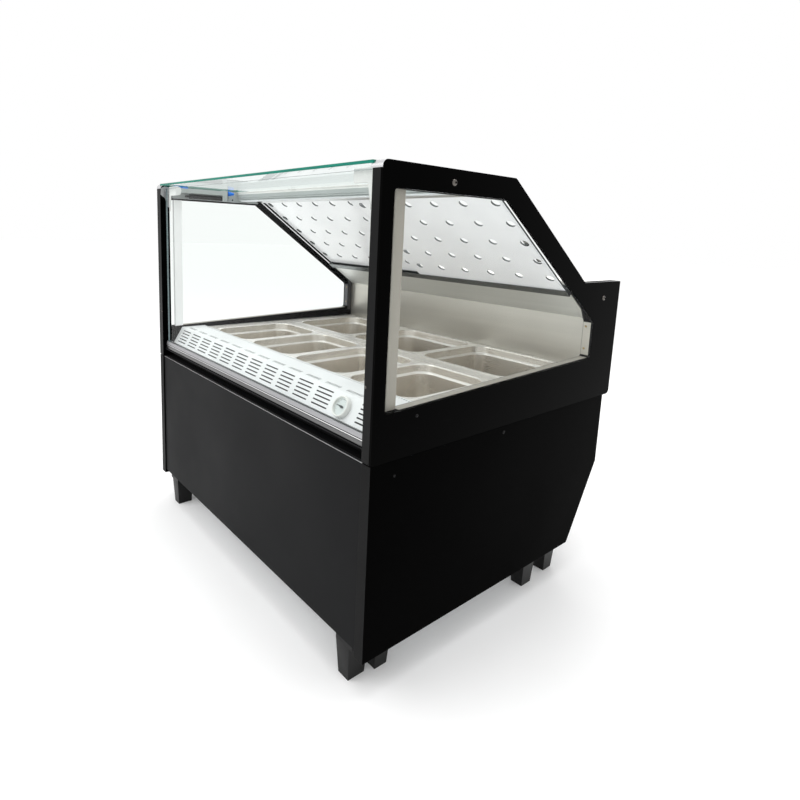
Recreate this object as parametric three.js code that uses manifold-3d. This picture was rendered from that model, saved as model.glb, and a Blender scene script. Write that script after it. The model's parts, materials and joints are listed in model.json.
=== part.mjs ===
// An ice cream dipping cabinet with a glass display top, in millimetres.
// +Z is up, +X is the right-hand end seen from the customer's side, and the customer stands at -Y.
// The origin is on the floor, under the middle of the cabinet.
import * as THREE from "three";
import { mergeVertices } from "three/addons/utils/BufferGeometryUtils.js";
import Module from "manifold-3d";

const wasm = await Module();
wasm.setup();

// ---- Driving dimensions -------------------------------------------------------------------------
const WIDTH = 1200;
const DEPTH = 980;
const HEIGHT = 1160;
const BODY_BOTTOM = 100; // the feet lift the body this far
const SEAM = 551; // top of the lower body, where the display starts
const COUNTER = 905; // top of the staff side's ledge
const DECK = 645; // rims of the pans

const END = 30; // thickness of each end wall
const PANE = 6; // side, front and top glass
const TOP_PANE = 7;
const SHEET = 1.5; // folded sheet metal
const LINER = 1.5; // stainless liner
const GAP = 0.3; // between pieces that touch
const HALF = WIDTH / 2;
const INNER = HALF - END; // inner face of each end wall
const SPAN = INNER - GAP; // half length of what fits between the ends
const FRAME_OUT = HALF - PANE - GAP; // outer face of the metal end frame

// Distances back from the front of the cabinet
const SLOPE_TOP = 414.6;
const SLOPE_FOOT = 774;
const LOWER_REAR = 945;
const CHAMFER_FOOT = 815;
const CHAMFER_TOP = 336; // height where the lower body's rear starts to slope in
const REAR_FACE = 966; // rear sheet between the end walls

const FRONT_GLASS = 16; // front face of the front glass
const PIVOT = { y: 28, z: 1137, radius: 14.5 };
const RAIL = { bottom: 579, top: 606, front: 2, rear: 35 };
const GLASS_FOOT = 590; // the front glass stands in its rail, down to here

const FRONT_ROW = { start: 163, count: 4 }; // half-size pans, 265 wide
const REAR_ROW = { start: 530, count: 3 }; // two-thirds-size pans, 353 wide
const PAN_LENGTH = 325; // front to back
const PAN_AREA = 1060; // both rows fill this length
const PAN_DEPTH = 150;
const PAN_RIM = 12.5;

const TUB = { front: 174.5, rear: 843.5, half: 519.5, floor: 341.5 };
const DECK_SHEET = DECK - 2.6; // top of the sheet the pan rims rest on

// ---- Helpers ------------------------------------------------------------------------------------
const group = new THREE.Group();
const SIDES = [
  ["left", -1],
  ["right", 1],
];

// A distance back from the front face, as a Y coordinate.
function back(distance) {
  return distance - DEPTH / 2;
}

function piece(name, geometry, look, parent = group) {
  const mesh = new THREE.Mesh(geometry, new THREE.MeshStandardMaterial(look));
  mesh.name = name;
  parent.add(mesh);
  return mesh;
}

function box(x, y, z) {
  const geometry = new THREE.BoxGeometry(x[1] - x[0], y[1] - y[0], z[1] - z[0]);
  return geometry.translate((x[0] + x[1]) / 2, (y[0] + y[1]) / 2, (z[0] + z[1]) / 2);
}

// A box between the ends, given by distances from the front.
function crossBox(half, y, z) {
  return box([-half, half], [back(y[0]), back(y[1])], z);
}

// A closed outline with each corner rounded by its own radius: points are [u, v, radius].
function rounded(points, Kind = THREE.Shape) {
  const shape = new Kind();
  const count = points.length;
  points.forEach(([u, v, radius = 0], i) => {
    const corner = new THREE.Vector2(u, v);
    if (radius === 0) {
      if (i === 0) shape.moveTo(u, v);
      else shape.lineTo(u, v);
      return;
    }
    const before = points[(i + count - 1) % count];
    const after = points[(i + 1) % count];
    const inward = new THREE.Vector2(before[0] - u, before[1] - v).normalize();
    const onward = new THREE.Vector2(after[0] - u, after[1] - v).normalize();
    const half = Math.acos(inward.dot(onward)) / 2;
    const cut = radius / Math.tan(half);
    const start = corner.clone().addScaledVector(inward, cut);
    const end = corner.clone().addScaledVector(onward, cut);
    const centre = inward.clone().add(onward).normalize();
    centre.multiplyScalar(radius / Math.sin(half)).add(corner);
    const from = Math.atan2(start.y - centre.y, start.x - centre.x);
    const to = Math.atan2(end.y - centre.y, end.x - centre.x);
    const clockwise = inward.cross(onward) > 0;
    if (i === 0) shape.moveTo(start.x, start.y);
    else shape.lineTo(start.x, start.y);
    shape.absarc(centre.x, centre.y, radius, from, to, clockwise);
  });
  return shape;
}

function extrude(shape, depth, curveSegments = 4) {
  return new THREE.ExtrudeGeometry(shape, { depth, bevelEnabled: false, curveSegments });
}

// A profile of [distance from the front, height] drawn out along X.
function alongX(points, x, holes = [], curveSegments = 4) {
  const place = ([y, z, radius]) => [back(y), z, radius];
  const shape = rounded(points.map(place));
  shape.holes = holes.map((hole) => rounded(hole.map(place), THREE.Path));
  const turn = new THREE.Matrix4().makeBasis(
    new THREE.Vector3(0, 1, 0),
    new THREE.Vector3(0, 0, 1),
    new THREE.Vector3(1, 0, 0),
  );
  return extrude(shape, x[1] - x[0], curveSegments).applyMatrix4(turn).translate(x[0], 0, 0);
}

// A profile of [x, height] drawn out along Y, from one distance from the front to another.
function alongY(points, y, curveSegments = 4) {
  const geometry = extrude(rounded(points), y[1] - y[0], curveSegments);
  return geometry.rotateX(Math.PI / 2).translate(0, back(y[1]), 0);
}

function rod(radius, from, to, sides = 16) {
  const axis = new THREE.Vector3().subVectors(to, from);
  const geometry = new THREE.CylinderGeometry(radius, radius, axis.length(), sides);
  const turn = new THREE.Quaternion().setFromUnitVectors(
    new THREE.Vector3(0, 1, 0),
    axis.clone().normalize(),
  );
  geometry.applyQuaternion(turn);
  const middle = from.clone().lerp(to, 0.5);
  return geometry.translate(middle.x, middle.y, middle.z);
}

// A rod parallel to X or to Y through a point given by its distance from the front and height.
function rodX(radius, x, y, z, sides) {
  return rod(radius, new THREE.Vector3(x[0], back(y), z), new THREE.Vector3(x[1], back(y), z), sides);
}

function rodY(radius, x, y, z, sides) {
  return rod(radius, new THREE.Vector3(x, back(y[0]), z), new THREE.Vector3(x, back(y[1]), z), sides);
}

function rodZ(radius, x, y, z, sides) {
  return rod(radius, new THREE.Vector3(x, back(y), z[0]), new THREE.Vector3(x, back(y), z[1]), sides);
}

function solid(geometry) {
  const bare = geometry.index ? geometry.toNonIndexed() : geometry.clone();
  bare.deleteAttribute("normal");
  bare.deleteAttribute("uv");
  const merged = mergeVertices(bare, 1e-3);
  return new wasm.Manifold(
    new wasm.Mesh({
      numProp: 3,
      vertProperties: merged.attributes.position.array,
      triVerts: new Uint32Array(merged.index.array),
    }),
  );
}

// Joins the first list of geometries and cuts the second list from them.
function carve(joined, cuts = []) {
  let made = solid(joined[0]);
  for (const extra of joined.slice(1)) made = made.add(solid(extra));
  for (const cut of cuts) made = made.subtract(solid(cut));
  const mesh = made.getMesh();
  const geometry = new THREE.BufferGeometry();
  geometry.setAttribute("position", new THREE.BufferAttribute(mesh.vertProperties, 3));
  geometry.setIndex(new THREE.BufferAttribute(mesh.triVerts, 1));
  geometry.computeVertexNormals();
  return geometry;
}

// A closed skin through rings of points, closed at both ends by flat caps.
function skin(rings) {
  const size = rings[0].length;
  const position = rings.flat().flatMap(([x, y, z]) => [x, y, z]);
  const index = [];
  for (let r = 0; r + 1 < rings.length; r += 1) {
    for (let i = 0; i < size; i += 1) {
      const a = r * size + i;
      const b = r * size + ((i + 1) % size);
      index.push(a, b, a + size, b, b + size, a + size);
    }
  }
  const last = (rings.length - 1) * size;
  for (let i = 1; i + 1 < size; i += 1) {
    index.push(0, i + 1, i);
    index.push(last, last + i, last + i + 1);
  }
  const geometry = new THREE.BufferGeometry();
  geometry.setAttribute("position", new THREE.Float32BufferAttribute(position, 3));
  geometry.setIndex(index);
  geometry.computeVertexNormals();
  return geometry;
}

// A ring of points round a rectangle with rounded corners.
function roundedRing(halfX, halfY, radius, z, steps = 4) {
  const ring = [];
  for (let corner = 0; corner < 4; corner += 1) {
    const sx = corner === 0 || corner === 3 ? 1 : -1;
    const sy = corner < 2 ? 1 : -1;
    for (let i = 0; i <= steps; i += 1) {
      const angle = (corner + i / steps) * (Math.PI / 2);
      const x = sx * (halfX - radius) + radius * Math.cos(angle);
      const y = sy * (halfY - radius) + radius * Math.sin(angle);
      ring.push([x, y, z]);
    }
  }
  return ring;
}

// ---- The slope the sliding doors lie on ---------------------------------------------------------
// s runs down the slope from its top corner, and p runs inwards from the slope's outer line.
const RUN = new THREE.Vector2(SLOPE_FOOT - SLOPE_TOP, COUNTER - HEIGHT).normalize();
const INWARD = new THREE.Vector2(RUN.y, -RUN.x);

function slopePoint(s, p) {
  return [SLOPE_TOP + RUN.x * s + INWARD.x * p, HEIGHT + RUN.y * s + INWARD.y * p];
}

function slopeProfile(points, x) {
  return alongX(points.map(([s, p]) => slopePoint(s, p)), x);
}

// ---- Looks --------------------------------------------------------------------------------------
const BLACK_PAINT = { color: 0x17181a, roughness: 0.45, metalness: 0 };
const CHARCOAL = { color: 0x2c2d2f, roughness: 0.6, metalness: 0 };
const STAINLESS = { color: 0xbdb9b2, roughness: 0.35, metalness: 1 };
const PAN_STEEL = { color: 0xc6c1b8, roughness: 0.25, metalness: 1 };
const ALUMINIUM = { color: 0xb9b9b9, roughness: 0.35, metalness: 1 };
const WHITE = { color: 0xe9ecee, roughness: 0.35, metalness: 0 };
const PALE_GREY = { color: 0xc4c8c8, roughness: 0.45, metalness: 0 };
const CLEAR = { color: 0xdfeeea, roughness: 0.02, metalness: 0, transparent: true, opacity: 0.25 };
const FOAM = { color: 0xe6d9a8, roughness: 0.9, metalness: 0 };
const GALVANISED = { color: 0x9fa3a5, roughness: 0.5, metalness: 1 };
const BLACK_PLASTIC = { color: 0x101112, roughness: 0.5, metalness: 0 };
const BLUE_PLASTIC = { color: 0x0a86d8, roughness: 0.4, metalness: 0 };
const LAMP_WHITE = { color: 0xf8fbff, roughness: 0.3, metalness: 0 };
const ENAMEL = { color: 0x1b1c1e, roughness: 0.3, metalness: 0 };
const RED = { color: 0xb01c16, roughness: 0.5, metalness: 0 };

// ---- Ends ---------------------------------------------------------------------------------------
const CORNER = 14; // radius of the ends' outer corners
const UPPER_END = [
  [0, SEAM + GAP, 5],
  [DEPTH, SEAM + GAP, CORNER],
  [DEPTH, COUNTER, 4],
  [SLOPE_FOOT, COUNTER, 6],
  [SLOPE_TOP, HEIGHT, CORNER],
  [0, HEIGHT, CORNER],
];
const LOWER_END = [
  [0, BODY_BOTTOM],
  [CHAMFER_FOOT, BODY_BOTTOM],
  [LOWER_REAR, CHAMFER_TOP],
  [LOWER_REAR, SEAM],
  [0, SEAM],
];
const WINDOW = [
  [32, 656, 10],
  [841, 681, 12],
  [841, 788, 14],
  [384, 1109, 6],
  [32, 1109, 10],
];

for (const [side, sign] of SIDES) {
  const across = (a, b) => (sign < 0 ? [-b, -a] : [a, b]);
  piece(`side_panel_${side}`, alongX(LOWER_END, across(INNER, HALF)), BLACK_PAINT);
  piece(`end_frame_${side}`, alongX(UPPER_END, across(INNER, FRAME_OUT), [WINDOW]), BLACK_PAINT);
  piece(`side_glass_${side}`, alongX(UPPER_END, across(HALF - PANE, HALF)), CLEAR);
}

// ---- Base frame and feet ------------------------------------------------------------------------
const TUBE = 36; // square section of the base's rails
const BASE_PLATE = 3;
const BASE_FRONT = 26;
const BASE_REAR = 775; // front face of the rear bottom rail
const POST_TOP = 545;
const REAR_POST = 900;
const BASE_BACK = CHAMFER_FOOT - 4;

function baseFrame() {
  const floor = [BODY_BOTTOM + GAP, BODY_BOTTOM + BASE_PLATE];
  const rail = [BODY_BOTTOM + GAP, BODY_BOTTOM + TUBE];
  const rearTop = [POST_TOP - TUBE, POST_TOP];
  const parts = [
    crossBox(SPAN, [BASE_FRONT, BASE_BACK], floor),
    crossBox(SPAN, [BASE_FRONT, BASE_FRONT + TUBE], rail),
    crossBox(SPAN, [BASE_REAR, BASE_BACK], rail),
    crossBox(SPAN, [BASE_FRONT, BASE_FRONT + TUBE], [POST_TOP - TUBE, POST_TOP]),
    crossBox(SPAN, [REAR_POST, REAR_POST + TUBE], rearTop),
  ];
  const web = [
    [BASE_FRONT, BODY_BOTTOM + GAP],
    [BASE_BACK, BODY_BOTTOM + GAP],
    [REAR_POST + TUBE, CHAMFER_TOP],
    [REAR_POST + TUBE, POST_TOP],
    [BASE_FRONT, POST_TOP],
  ];
  const opening = [
    [BASE_FRONT + TUBE, BODY_BOTTOM + TUBE],
    [BASE_REAR, BODY_BOTTOM + TUBE],
    [REAR_POST, CHAMFER_TOP],
    [REAR_POST, POST_TOP - TUBE],
    [BASE_FRONT + TUBE, POST_TOP - TUBE],
  ];
  for (const [, sign] of SIDES) {
    const x = sign < 0 ? [-SPAN, -SPAN + BASE_PLATE] : [SPAN - BASE_PLATE, SPAN];
    parts.push(alongX(web, x, [opening]));
  }
  return carve(parts);
}
piece("base_frame", baseFrame(), GALVANISED);

const FOOT_PLATE = 10;
const FOOT_FLARE = 6; // how much wider each side of a block is at its top
const FOOT_PAIRS = {
  front: [
    { x: 511, y: 44, halfX: 18.5, halfY: 24 },
    { x: 522, y: 110, halfX: 18.5, halfY: 18.5 },
  ],
  rear: [
    { x: 546, y: 668, halfX: 18.5, halfY: 22 },
    { x: 540, y: 789, halfX: 18.5, halfY: 20 },
  ],
};

// Two tapered blocks hanging from one plate.
function foot(blocks, sign) {
  const under = BODY_BOTTOM - GAP;
  const plateBottom = under - FOOT_PLATE;
  const parts = [];
  const reach = { x: [Infinity, -Infinity], y: [Infinity, -Infinity] };
  for (const { x, y, halfX, halfY } of blocks) {
    const centre = [sign * x, back(y)];
    const ring = (grow, z) => [
      [centre[0] + halfX + grow, centre[1] + halfY + grow, z],
      [centre[0] - halfX - grow, centre[1] + halfY + grow, z],
      [centre[0] - halfX - grow, centre[1] - halfY - grow, z],
      [centre[0] + halfX + grow, centre[1] - halfY - grow, z],
    ];
    parts.push(skin([ring(0, 0), ring(FOOT_FLARE, plateBottom + 2)]));
    reach.x = [Math.min(reach.x[0], x - halfX - FOOT_FLARE), Math.max(reach.x[1], x + halfX + FOOT_FLARE)];
    reach.y = [Math.min(reach.y[0], y - halfY - FOOT_FLARE), Math.max(reach.y[1], y + halfY + FOOT_FLARE)];
  }
  const plateX = sign < 0 ? [-reach.x[1], -reach.x[0]] : reach.x;
  parts.push(box(plateX, [back(reach.y[0]), back(reach.y[1])], [plateBottom, under]));
  return carve(parts);
}
for (const [end, blocks] of Object.entries(FOOT_PAIRS)) {
  for (const [side, sign] of SIDES) {
    piece(`foot_${end}_${side}`, foot(blocks, sign), BLACK_PLASTIC);
  }
}

// ---- Front and rear covers ----------------------------------------------------------------------
const FRONT_FACE = 4;
const FRONT_TURN = 20; // depth of the front panel's turned edges
const FRONT_BOTTOM = 112;
const FRONT_TOP = SEAM - 2;
const FRONT_PANEL = [
  [FRONT_FACE, FRONT_BOTTOM],
  [FRONT_FACE + FRONT_TURN, FRONT_BOTTOM],
  [FRONT_FACE + FRONT_TURN, FRONT_BOTTOM + SHEET],
  [FRONT_FACE + SHEET, FRONT_BOTTOM + SHEET],
  [FRONT_FACE + SHEET, FRONT_TOP - SHEET],
  [FRONT_FACE + FRONT_TURN, FRONT_TOP - SHEET],
  [FRONT_FACE + FRONT_TURN, FRONT_TOP],
  [FRONT_FACE, FRONT_TOP],
];
piece("front_panel", alongX(FRONT_PANEL, [-SPAN, SPAN]), CHARCOAL);

const SILL = { front: 8, rear: 40, bottom: SEAM - 1, top: 578, wall: 2.5 };
const FRONT_SILL = [
  [SILL.front, SILL.bottom],
  [SILL.rear, SILL.bottom],
  [SILL.rear, SILL.top],
  [SILL.front, SILL.top],
  [SILL.front, SILL.top - SILL.wall],
  [SILL.rear - SILL.wall, SILL.top - SILL.wall],
  [SILL.rear - SILL.wall, SILL.bottom + SILL.wall],
  [SILL.front, SILL.bottom + SILL.wall],
];
piece("front_sill", alongX(FRONT_SILL, [-SPAN, SPAN]), BLACK_PLASTIC);

const CHAMFER_RUN = new THREE.Vector2(LOWER_REAR - CHAMFER_FOOT, CHAMFER_TOP - BODY_BOTTOM);
const REAR_TOP = SEAM - GAP;

// A point on a line parallel to the lower body's rear outline, so far inside it.
function rearLine(inset, z) {
  const lean = CHAMFER_RUN.x / CHAMFER_RUN.y;
  const across = inset * Math.hypot(1, lean);
  return Math.min(CHAMFER_FOOT + (z - BODY_BOTTOM) * lean - across, LOWER_REAR - inset);
}

const VENTS = { centres: [-360, 0, 360], half: 110, count: 9, pitch: 16, first: 30, height: 5 };

function rearPanel() {
  const inset = 2;
  const bend = CHAMFER_TOP;
  const bottom = BODY_BOTTOM + TUBE + 4;
  const sheet = [
    [rearLine(inset, bottom), bottom],
    [LOWER_REAR - inset, bend],
    [LOWER_REAR - inset, REAR_TOP],
    [LOWER_REAR - inset - SHEET, REAR_TOP],
    [LOWER_REAR - inset - SHEET, bend],
    [rearLine(inset + SHEET, bottom), bottom],
  ];
  const vents = [];
  const y = [back(LOWER_REAR - 12), back(LOWER_REAR + 2)];
  for (const x of VENTS.centres) {
    for (let i = 0; i < VENTS.count; i += 1) {
      const z = CHAMFER_TOP + VENTS.first + i * VENTS.pitch;
      vents.push(box([x - VENTS.half, x + VENTS.half], y, [z, z + VENTS.height]));
    }
  }
  return carve([alongX(sheet, [-SPAN, SPAN])], vents);
}
piece("rear_panel", rearPanel(), BLACK_PAINT);

const LIP = 24; // the counter's turned-down front edge
const LIP_FRONT = SLOPE_FOOT + 2;
const REAR_COUNTER = [
  [LIP_FRONT, COUNTER - LIP],
  [LIP_FRONT, COUNTER],
  [REAR_FACE, COUNTER],
  [REAR_FACE, SEAM + 2],
  [REAR_FACE - SHEET, SEAM + 2],
  [REAR_FACE - SHEET, COUNTER - SHEET],
  [LIP_FRONT + SHEET, COUNTER - SHEET],
  [LIP_FRONT + SHEET, COUNTER - LIP],
];
piece("rear_counter", alongX(REAR_COUNTER, [-SPAN, SPAN]), STAINLESS);

// ---- Well: foam, liner, divider and pans --------------------------------------------------------
const DRAIN = { x: 400, y: 300, bore: 10, radius: 14, bottom: 190 };

const DECK_FRONT = 118; // the liner's deck reaches forward under the air grille
const FOAM_BOX = { front: 130, rear: 885, bottom: 305 };
function insulation() {
  const half = SPAN - BASE_PLATE - 1;
  const outer = crossBox(half, [FOAM_BOX.front, FOAM_BOX.rear], [FOAM_BOX.bottom, DECK_SHEET - LINER - GAP]);
  const skinOut = LINER + GAP;
  const hollow = crossBox(
    TUB.half + skinOut,
    [TUB.front - skinOut, TUB.rear + skinOut],
    [TUB.floor - skinOut, DECK],
  );
  const drain = rodZ(DRAIN.radius + 1, DRAIN.x, DRAIN.y, [FOAM_BOX.bottom - 5, TUB.floor], 16);
  return carve([outer], [hollow, drain]);
}
piece("insulation", insulation(), FOAM);

function wellLiner() {
  const deck = crossBox(SPAN, [DECK_FRONT, FOAM_BOX.rear], [DECK_SHEET - LINER, DECK_SHEET]);
  const tub = crossBox(
    TUB.half + LINER,
    [TUB.front - LINER, TUB.rear + LINER],
    [TUB.floor - LINER, DECK_SHEET],
  );
  const hollow = crossBox(TUB.half, [TUB.front, TUB.rear], [TUB.floor, DECK + 5]);
  const drain = rodZ(DRAIN.bore, DRAIN.x, DRAIN.y, [TUB.floor - 5, TUB.floor + 5], 16);
  return carve([deck, tub], [hollow, drain]);
}
piece("well_liner", wellLiner(), STAINLESS);

function drainPipe() {
  const top = TUB.floor - LINER - GAP;
  const outside = rodZ(DRAIN.radius, DRAIN.x, DRAIN.y, [DRAIN.bottom, top], 16);
  const bore = rodZ(DRAIN.bore, DRAIN.x, DRAIN.y, [DRAIN.bottom - 5, top + 5], 16);
  return carve([outside], [bore]);
}
piece("drain_pipe", drainPipe(), PALE_GREY);

// A bar between the rows, with a lowered flange each side that the pan rims rest on.
const DIVIDER_FLANGE = 11;
const DIVIDER = [
  [FRONT_ROW.start + PAN_LENGTH - DIVIDER_FLANGE, DECK_SHEET - LINER],
  [REAR_ROW.start + DIVIDER_FLANGE, DECK_SHEET - LINER],
  [REAR_ROW.start + DIVIDER_FLANGE, DECK_SHEET],
  [REAR_ROW.start - 1, DECK_SHEET],
  [REAR_ROW.start - 1, DECK, 1],
  [FRONT_ROW.start + PAN_LENGTH + 1, DECK, 1],
  [FRONT_ROW.start + PAN_LENGTH + 1, DECK_SHEET],
  [FRONT_ROW.start + PAN_LENGTH - DIVIDER_FLANGE, DECK_SHEET],
];
function rowDivider() {
  const bar = alongX(DIVIDER, [-TUB.half + GAP, TUB.half - GAP], [], 2);
  const rows = [FRONT_ROW.start + PAN_LENGTH + 1, REAR_ROW.start - 1];
  const cap = crossBox(PAN_AREA / 2, rows, [DECK_SHEET + GAP, DECK - 0.2]);
  return carve([bar, cap]);
}
piece("row_divider", rowDivider(), STAINLESS);

// One deep-drawn pan: up the outside, over the rim, and down the inside.
function pan(width) {
  const halfX = width / 2 - GAP;
  const halfY = PAN_LENGTH / 2 - GAP;
  const mouthX = halfX - PAN_RIM;
  const mouthY = halfY - PAN_RIM;
  const wall = 1;
  const rim = 2.2; // depth of the rolled rim
  const shoulder = { z: -24, step: 3, radius: 44 };
  const floor = { z: -PAN_DEPTH, draft: 6, radius: 34 };
  const mouthRadius = 46;
  // Each ring: its height under the rim, how far inside the mouth it is, and its corner radius.
  const rings = (grow, lift) => [
    [floor.z + lift, shoulder.step + floor.draft - grow, floor.radius],
    [shoulder.z - 4, shoulder.step - grow, shoulder.radius],
    [shoulder.z, -grow, mouthRadius],
  ];
  const ring = ([z, inset, radius]) => roundedRing(mouthX - inset, mouthY - inset, radius, DECK + z);
  const outside = rings(0, 0).map(ring);
  const inside = rings(-wall, wall).map(ring).reverse();
  return skin([
    ...outside,
    roundedRing(mouthX, mouthY, mouthRadius, DECK - rim),
    roundedRing(halfX, halfY, 8, DECK - rim),
    roundedRing(halfX, halfY, 8, DECK),
    roundedRing(mouthX - wall, mouthY - wall, mouthRadius, DECK),
    ...inside,
  ]);
}

let panNumber = 0;
for (const { start, count } of [FRONT_ROW, REAR_ROW]) {
  const width = PAN_AREA / count;
  for (let i = 0; i < count; i += 1) {
    panNumber += 1;
    const mesh = piece(`pan_${panNumber}`, pan(width), PAN_STEEL);
    mesh.position.set(-PAN_AREA / 2 + width * (i + 0.5), back(start + PAN_LENGTH / 2), 0);
  }
}

// ---- Air grille and gauge -----------------------------------------------------------------------
const GRILLE = { foot: [38, 594], ridge: [72, 651.5], rear: 161, wall: 2, lip: 12 };
const FACE_LENGTH = Math.hypot(GRILLE.ridge[0] - GRILLE.foot[0], GRILLE.ridge[1] - GRILLE.foot[1]);
const FACE_UP = new THREE.Vector2(
  (GRILLE.ridge[0] - GRILLE.foot[0]) / FACE_LENGTH,
  (GRILLE.ridge[1] - GRILLE.foot[1]) / FACE_LENGTH,
);

// u runs up the grille's sloping face from its foot, and d runs outwards from it.
function facePoint(u, d) {
  return [
    GRILLE.foot[0] + FACE_UP.x * u - FACE_UP.y * d,
    GRILLE.foot[1] + FACE_UP.y * u + FACE_UP.x * d,
  ];
}

const SLOTS = { columns: 13, first: -510, pitch: 85.8, length: 62, rows: 5, low: 13, step: 10.5, height: 3.4 };
const GAUGE = { x: 433, u: 33, radius: 26, stem: 9, stemDepth: 28 };

function slotCuts() {
  const cuts = [];
  for (let column = 0; column < SLOTS.columns; column += 1) {
    const middle = SLOTS.first + column * SLOTS.pitch;
    if (Math.abs(middle - GAUGE.x) < SLOTS.length / 2) continue;
    for (let row = 0; row < SLOTS.rows; row += 1) {
      const u = SLOTS.low + row * SLOTS.step;
      const tool = [
        facePoint(u, -GRILLE.wall - 1),
        facePoint(u, 1),
        facePoint(u + SLOTS.height, 1),
        facePoint(u + SLOTS.height, -GRILLE.wall - 1),
      ];
      cuts.push(alongX(tool, [middle - SLOTS.length / 2, middle + SLOTS.length / 2]));
    }
  }
  return cuts;
}

function airGrille() {
  const { foot: base, ridge, rear, wall, lip } = GRILLE;
  const innerRidge = [ridge[0] + 1, ridge[1] - wall];
  const sheet = [
    [base[0], base[1] - lip],
    base,
    ridge,
    [rear, ridge[1]],
    [rear, DECK_SHEET + GAP],
    [rear - wall, DECK_SHEET + GAP],
    [rear - wall, ridge[1] - wall],
    innerRidge,
    [base[0] + wall, base[1] - 0.5],
    [base[0] + wall, base[1] - lip],
  ];
  const stemHole = gaugeRod(GAUGE.stem + 0.5, -GRILLE.wall - 3, 3);
  return carve([alongX(sheet, [-SPAN, SPAN])], [...slotCuts(), stemHole]);
}

// A rod square to the grille's face on the gauge's centre, from one height over the face to another.
function gaugeRod(radius, from, to, sides = 16) {
  const [fromY, fromZ] = facePoint(GAUGE.u, from);
  const [toY, toZ] = facePoint(GAUGE.u, to);
  const start = new THREE.Vector3(GAUGE.x, back(fromY), fromZ);
  const end = new THREE.Vector3(GAUGE.x, back(toY), toZ);
  return rod(radius, start, end, sides);
}
piece("air_grille", airGrille(), WHITE);

const DIAL = { face: 6, needleLift: 1.2, needle: 1.2, lensLift: 8.5, height: 13, well: 22 };
function gaugeBody() {
  const cup = gaugeRod(GAUGE.radius, GAP, DIAL.height, 32);
  const stem = gaugeRod(GAUGE.stem, -GAUGE.stemDepth, GAP + 1);
  const well = gaugeRod(DIAL.well, DIAL.face, DIAL.height + 1, 32);
  return carve([cup, stem], [well]);
}
piece("gauge_body", gaugeBody(), WHITE);

// A flat pointer: an outline of [x, u] from the gauge's centre, standing off the dial.
const NEEDLE_REST = THREE.MathUtils.degToRad(84); // it rests turned to the left from straight up
const NEEDLE = [
  [-1.6, -7],
  [1.6, -7],
  [2.6, 0],
  [0.6, 17],
  [-0.6, 17],
  [-2.6, 0],
];
function gaugeNeedle() {
  const geometry = extrude(rounded(NEEDLE), DIAL.needle).rotateZ(NEEDLE_REST);
  const [y, z] = facePoint(GAUGE.u, DIAL.face + DIAL.needleLift);
  const place = new THREE.Matrix4().makeBasis(
    new THREE.Vector3(1, 0, 0),
    new THREE.Vector3(0, FACE_UP.x, FACE_UP.y),
    new THREE.Vector3(0, -FACE_UP.y, FACE_UP.x),
  );
  place.setPosition(GAUGE.x, back(y), z);
  return geometry.applyMatrix4(place);
}
piece("gauge_needle", gaugeNeedle(), BLACK_PLASTIC);
piece("gauge_lens", gaugeRod(DIAL.well - GAP, DIAL.lensLift + 1, DIAL.height - 0.5, 32), CLEAR);

// ---- Top glass, light and front glass -----------------------------------------------------------
const TOP_GLASS = { front: 0, rear: 412 };
piece(
  "top_glass",
  crossBox(SPAN, [TOP_GLASS.front, TOP_GLASS.rear], [HEIGHT - TOP_PANE, HEIGHT]),
  CLEAR,
);

const BEAM = { front: 288, rear: 338, bottom: 1121, top: HEIGHT - TOP_PANE - GAP, wall: 2, flange: 6 };
const LAMP = { front: 296, rear: 322, drop: 6, short: 20 };
function lightBeam() {
  const profile = [
    [BEAM.front, BEAM.top],
    [BEAM.front, BEAM.top - BEAM.wall],
    [BEAM.front + BEAM.flange, BEAM.top - BEAM.wall],
    [BEAM.front + BEAM.flange, BEAM.bottom],
    [BEAM.rear, BEAM.bottom],
    [BEAM.rear, BEAM.top],
  ];
  const recess = crossBox(
    SPAN - LAMP.short,
    [LAMP.front - GAP, LAMP.rear + GAP],
    [BEAM.bottom - 1, BEAM.bottom + LAMP.drop],
  );
  return carve([alongX(profile, [-SPAN, SPAN])], [recess]);
}
piece("light_beam", lightBeam(), PALE_GREY);
piece(
  "lamp_tube",
  crossBox(
    SPAN - LAMP.short - GAP,
    [LAMP.front, LAMP.rear],
    [BEAM.bottom - 3, BEAM.bottom + LAMP.drop - GAP],
  ),
  LAMP_WHITE,
);

const GLASS_HALF = 560;
const GLASS_TOP = PIVOT.z + 8;
piece(
  "front_glass",
  crossBox(GLASS_HALF, [FRONT_GLASS, FRONT_GLASS + PANE], [GLASS_FOOT, GLASS_TOP]),
  CLEAR,
);

const RAIL_PROFILE = [
  [RAIL.front, RAIL.bottom],
  [RAIL.rear, RAIL.bottom],
  [RAIL.rear, RAIL.bottom + 14],
  [FRONT_GLASS + PANE + GAP + 3, RAIL.top],
  [FRONT_GLASS + PANE + GAP, RAIL.top],
  [FRONT_GLASS + PANE + GAP, GLASS_FOOT - GAP],
  [FRONT_GLASS - GAP, GLASS_FOOT - GAP],
  [FRONT_GLASS - GAP, RAIL.top],
  [FRONT_GLASS - GAP - 4, RAIL.top],
  [RAIL.front, RAIL.top - 8],
];
piece("glass_rail", alongX(RAIL_PROFILE, [-GLASS_HALF - 4, GLASS_HALF + 4]), ALUMINIUM);

// ---- Front glass hinges and lift struts ---------------------------------------------------------
const CLAMP = { inner: 484, outer: 545, plate: 3, drop: 76, tip: 16, shoulder: 30 };
const PIN = { radius: 4, bore: 4.3, bush: 10, start: 500 };
const CLAMP_FACE = FRONT_GLASS + PANE + GAP; // against the back of the front glass

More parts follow.
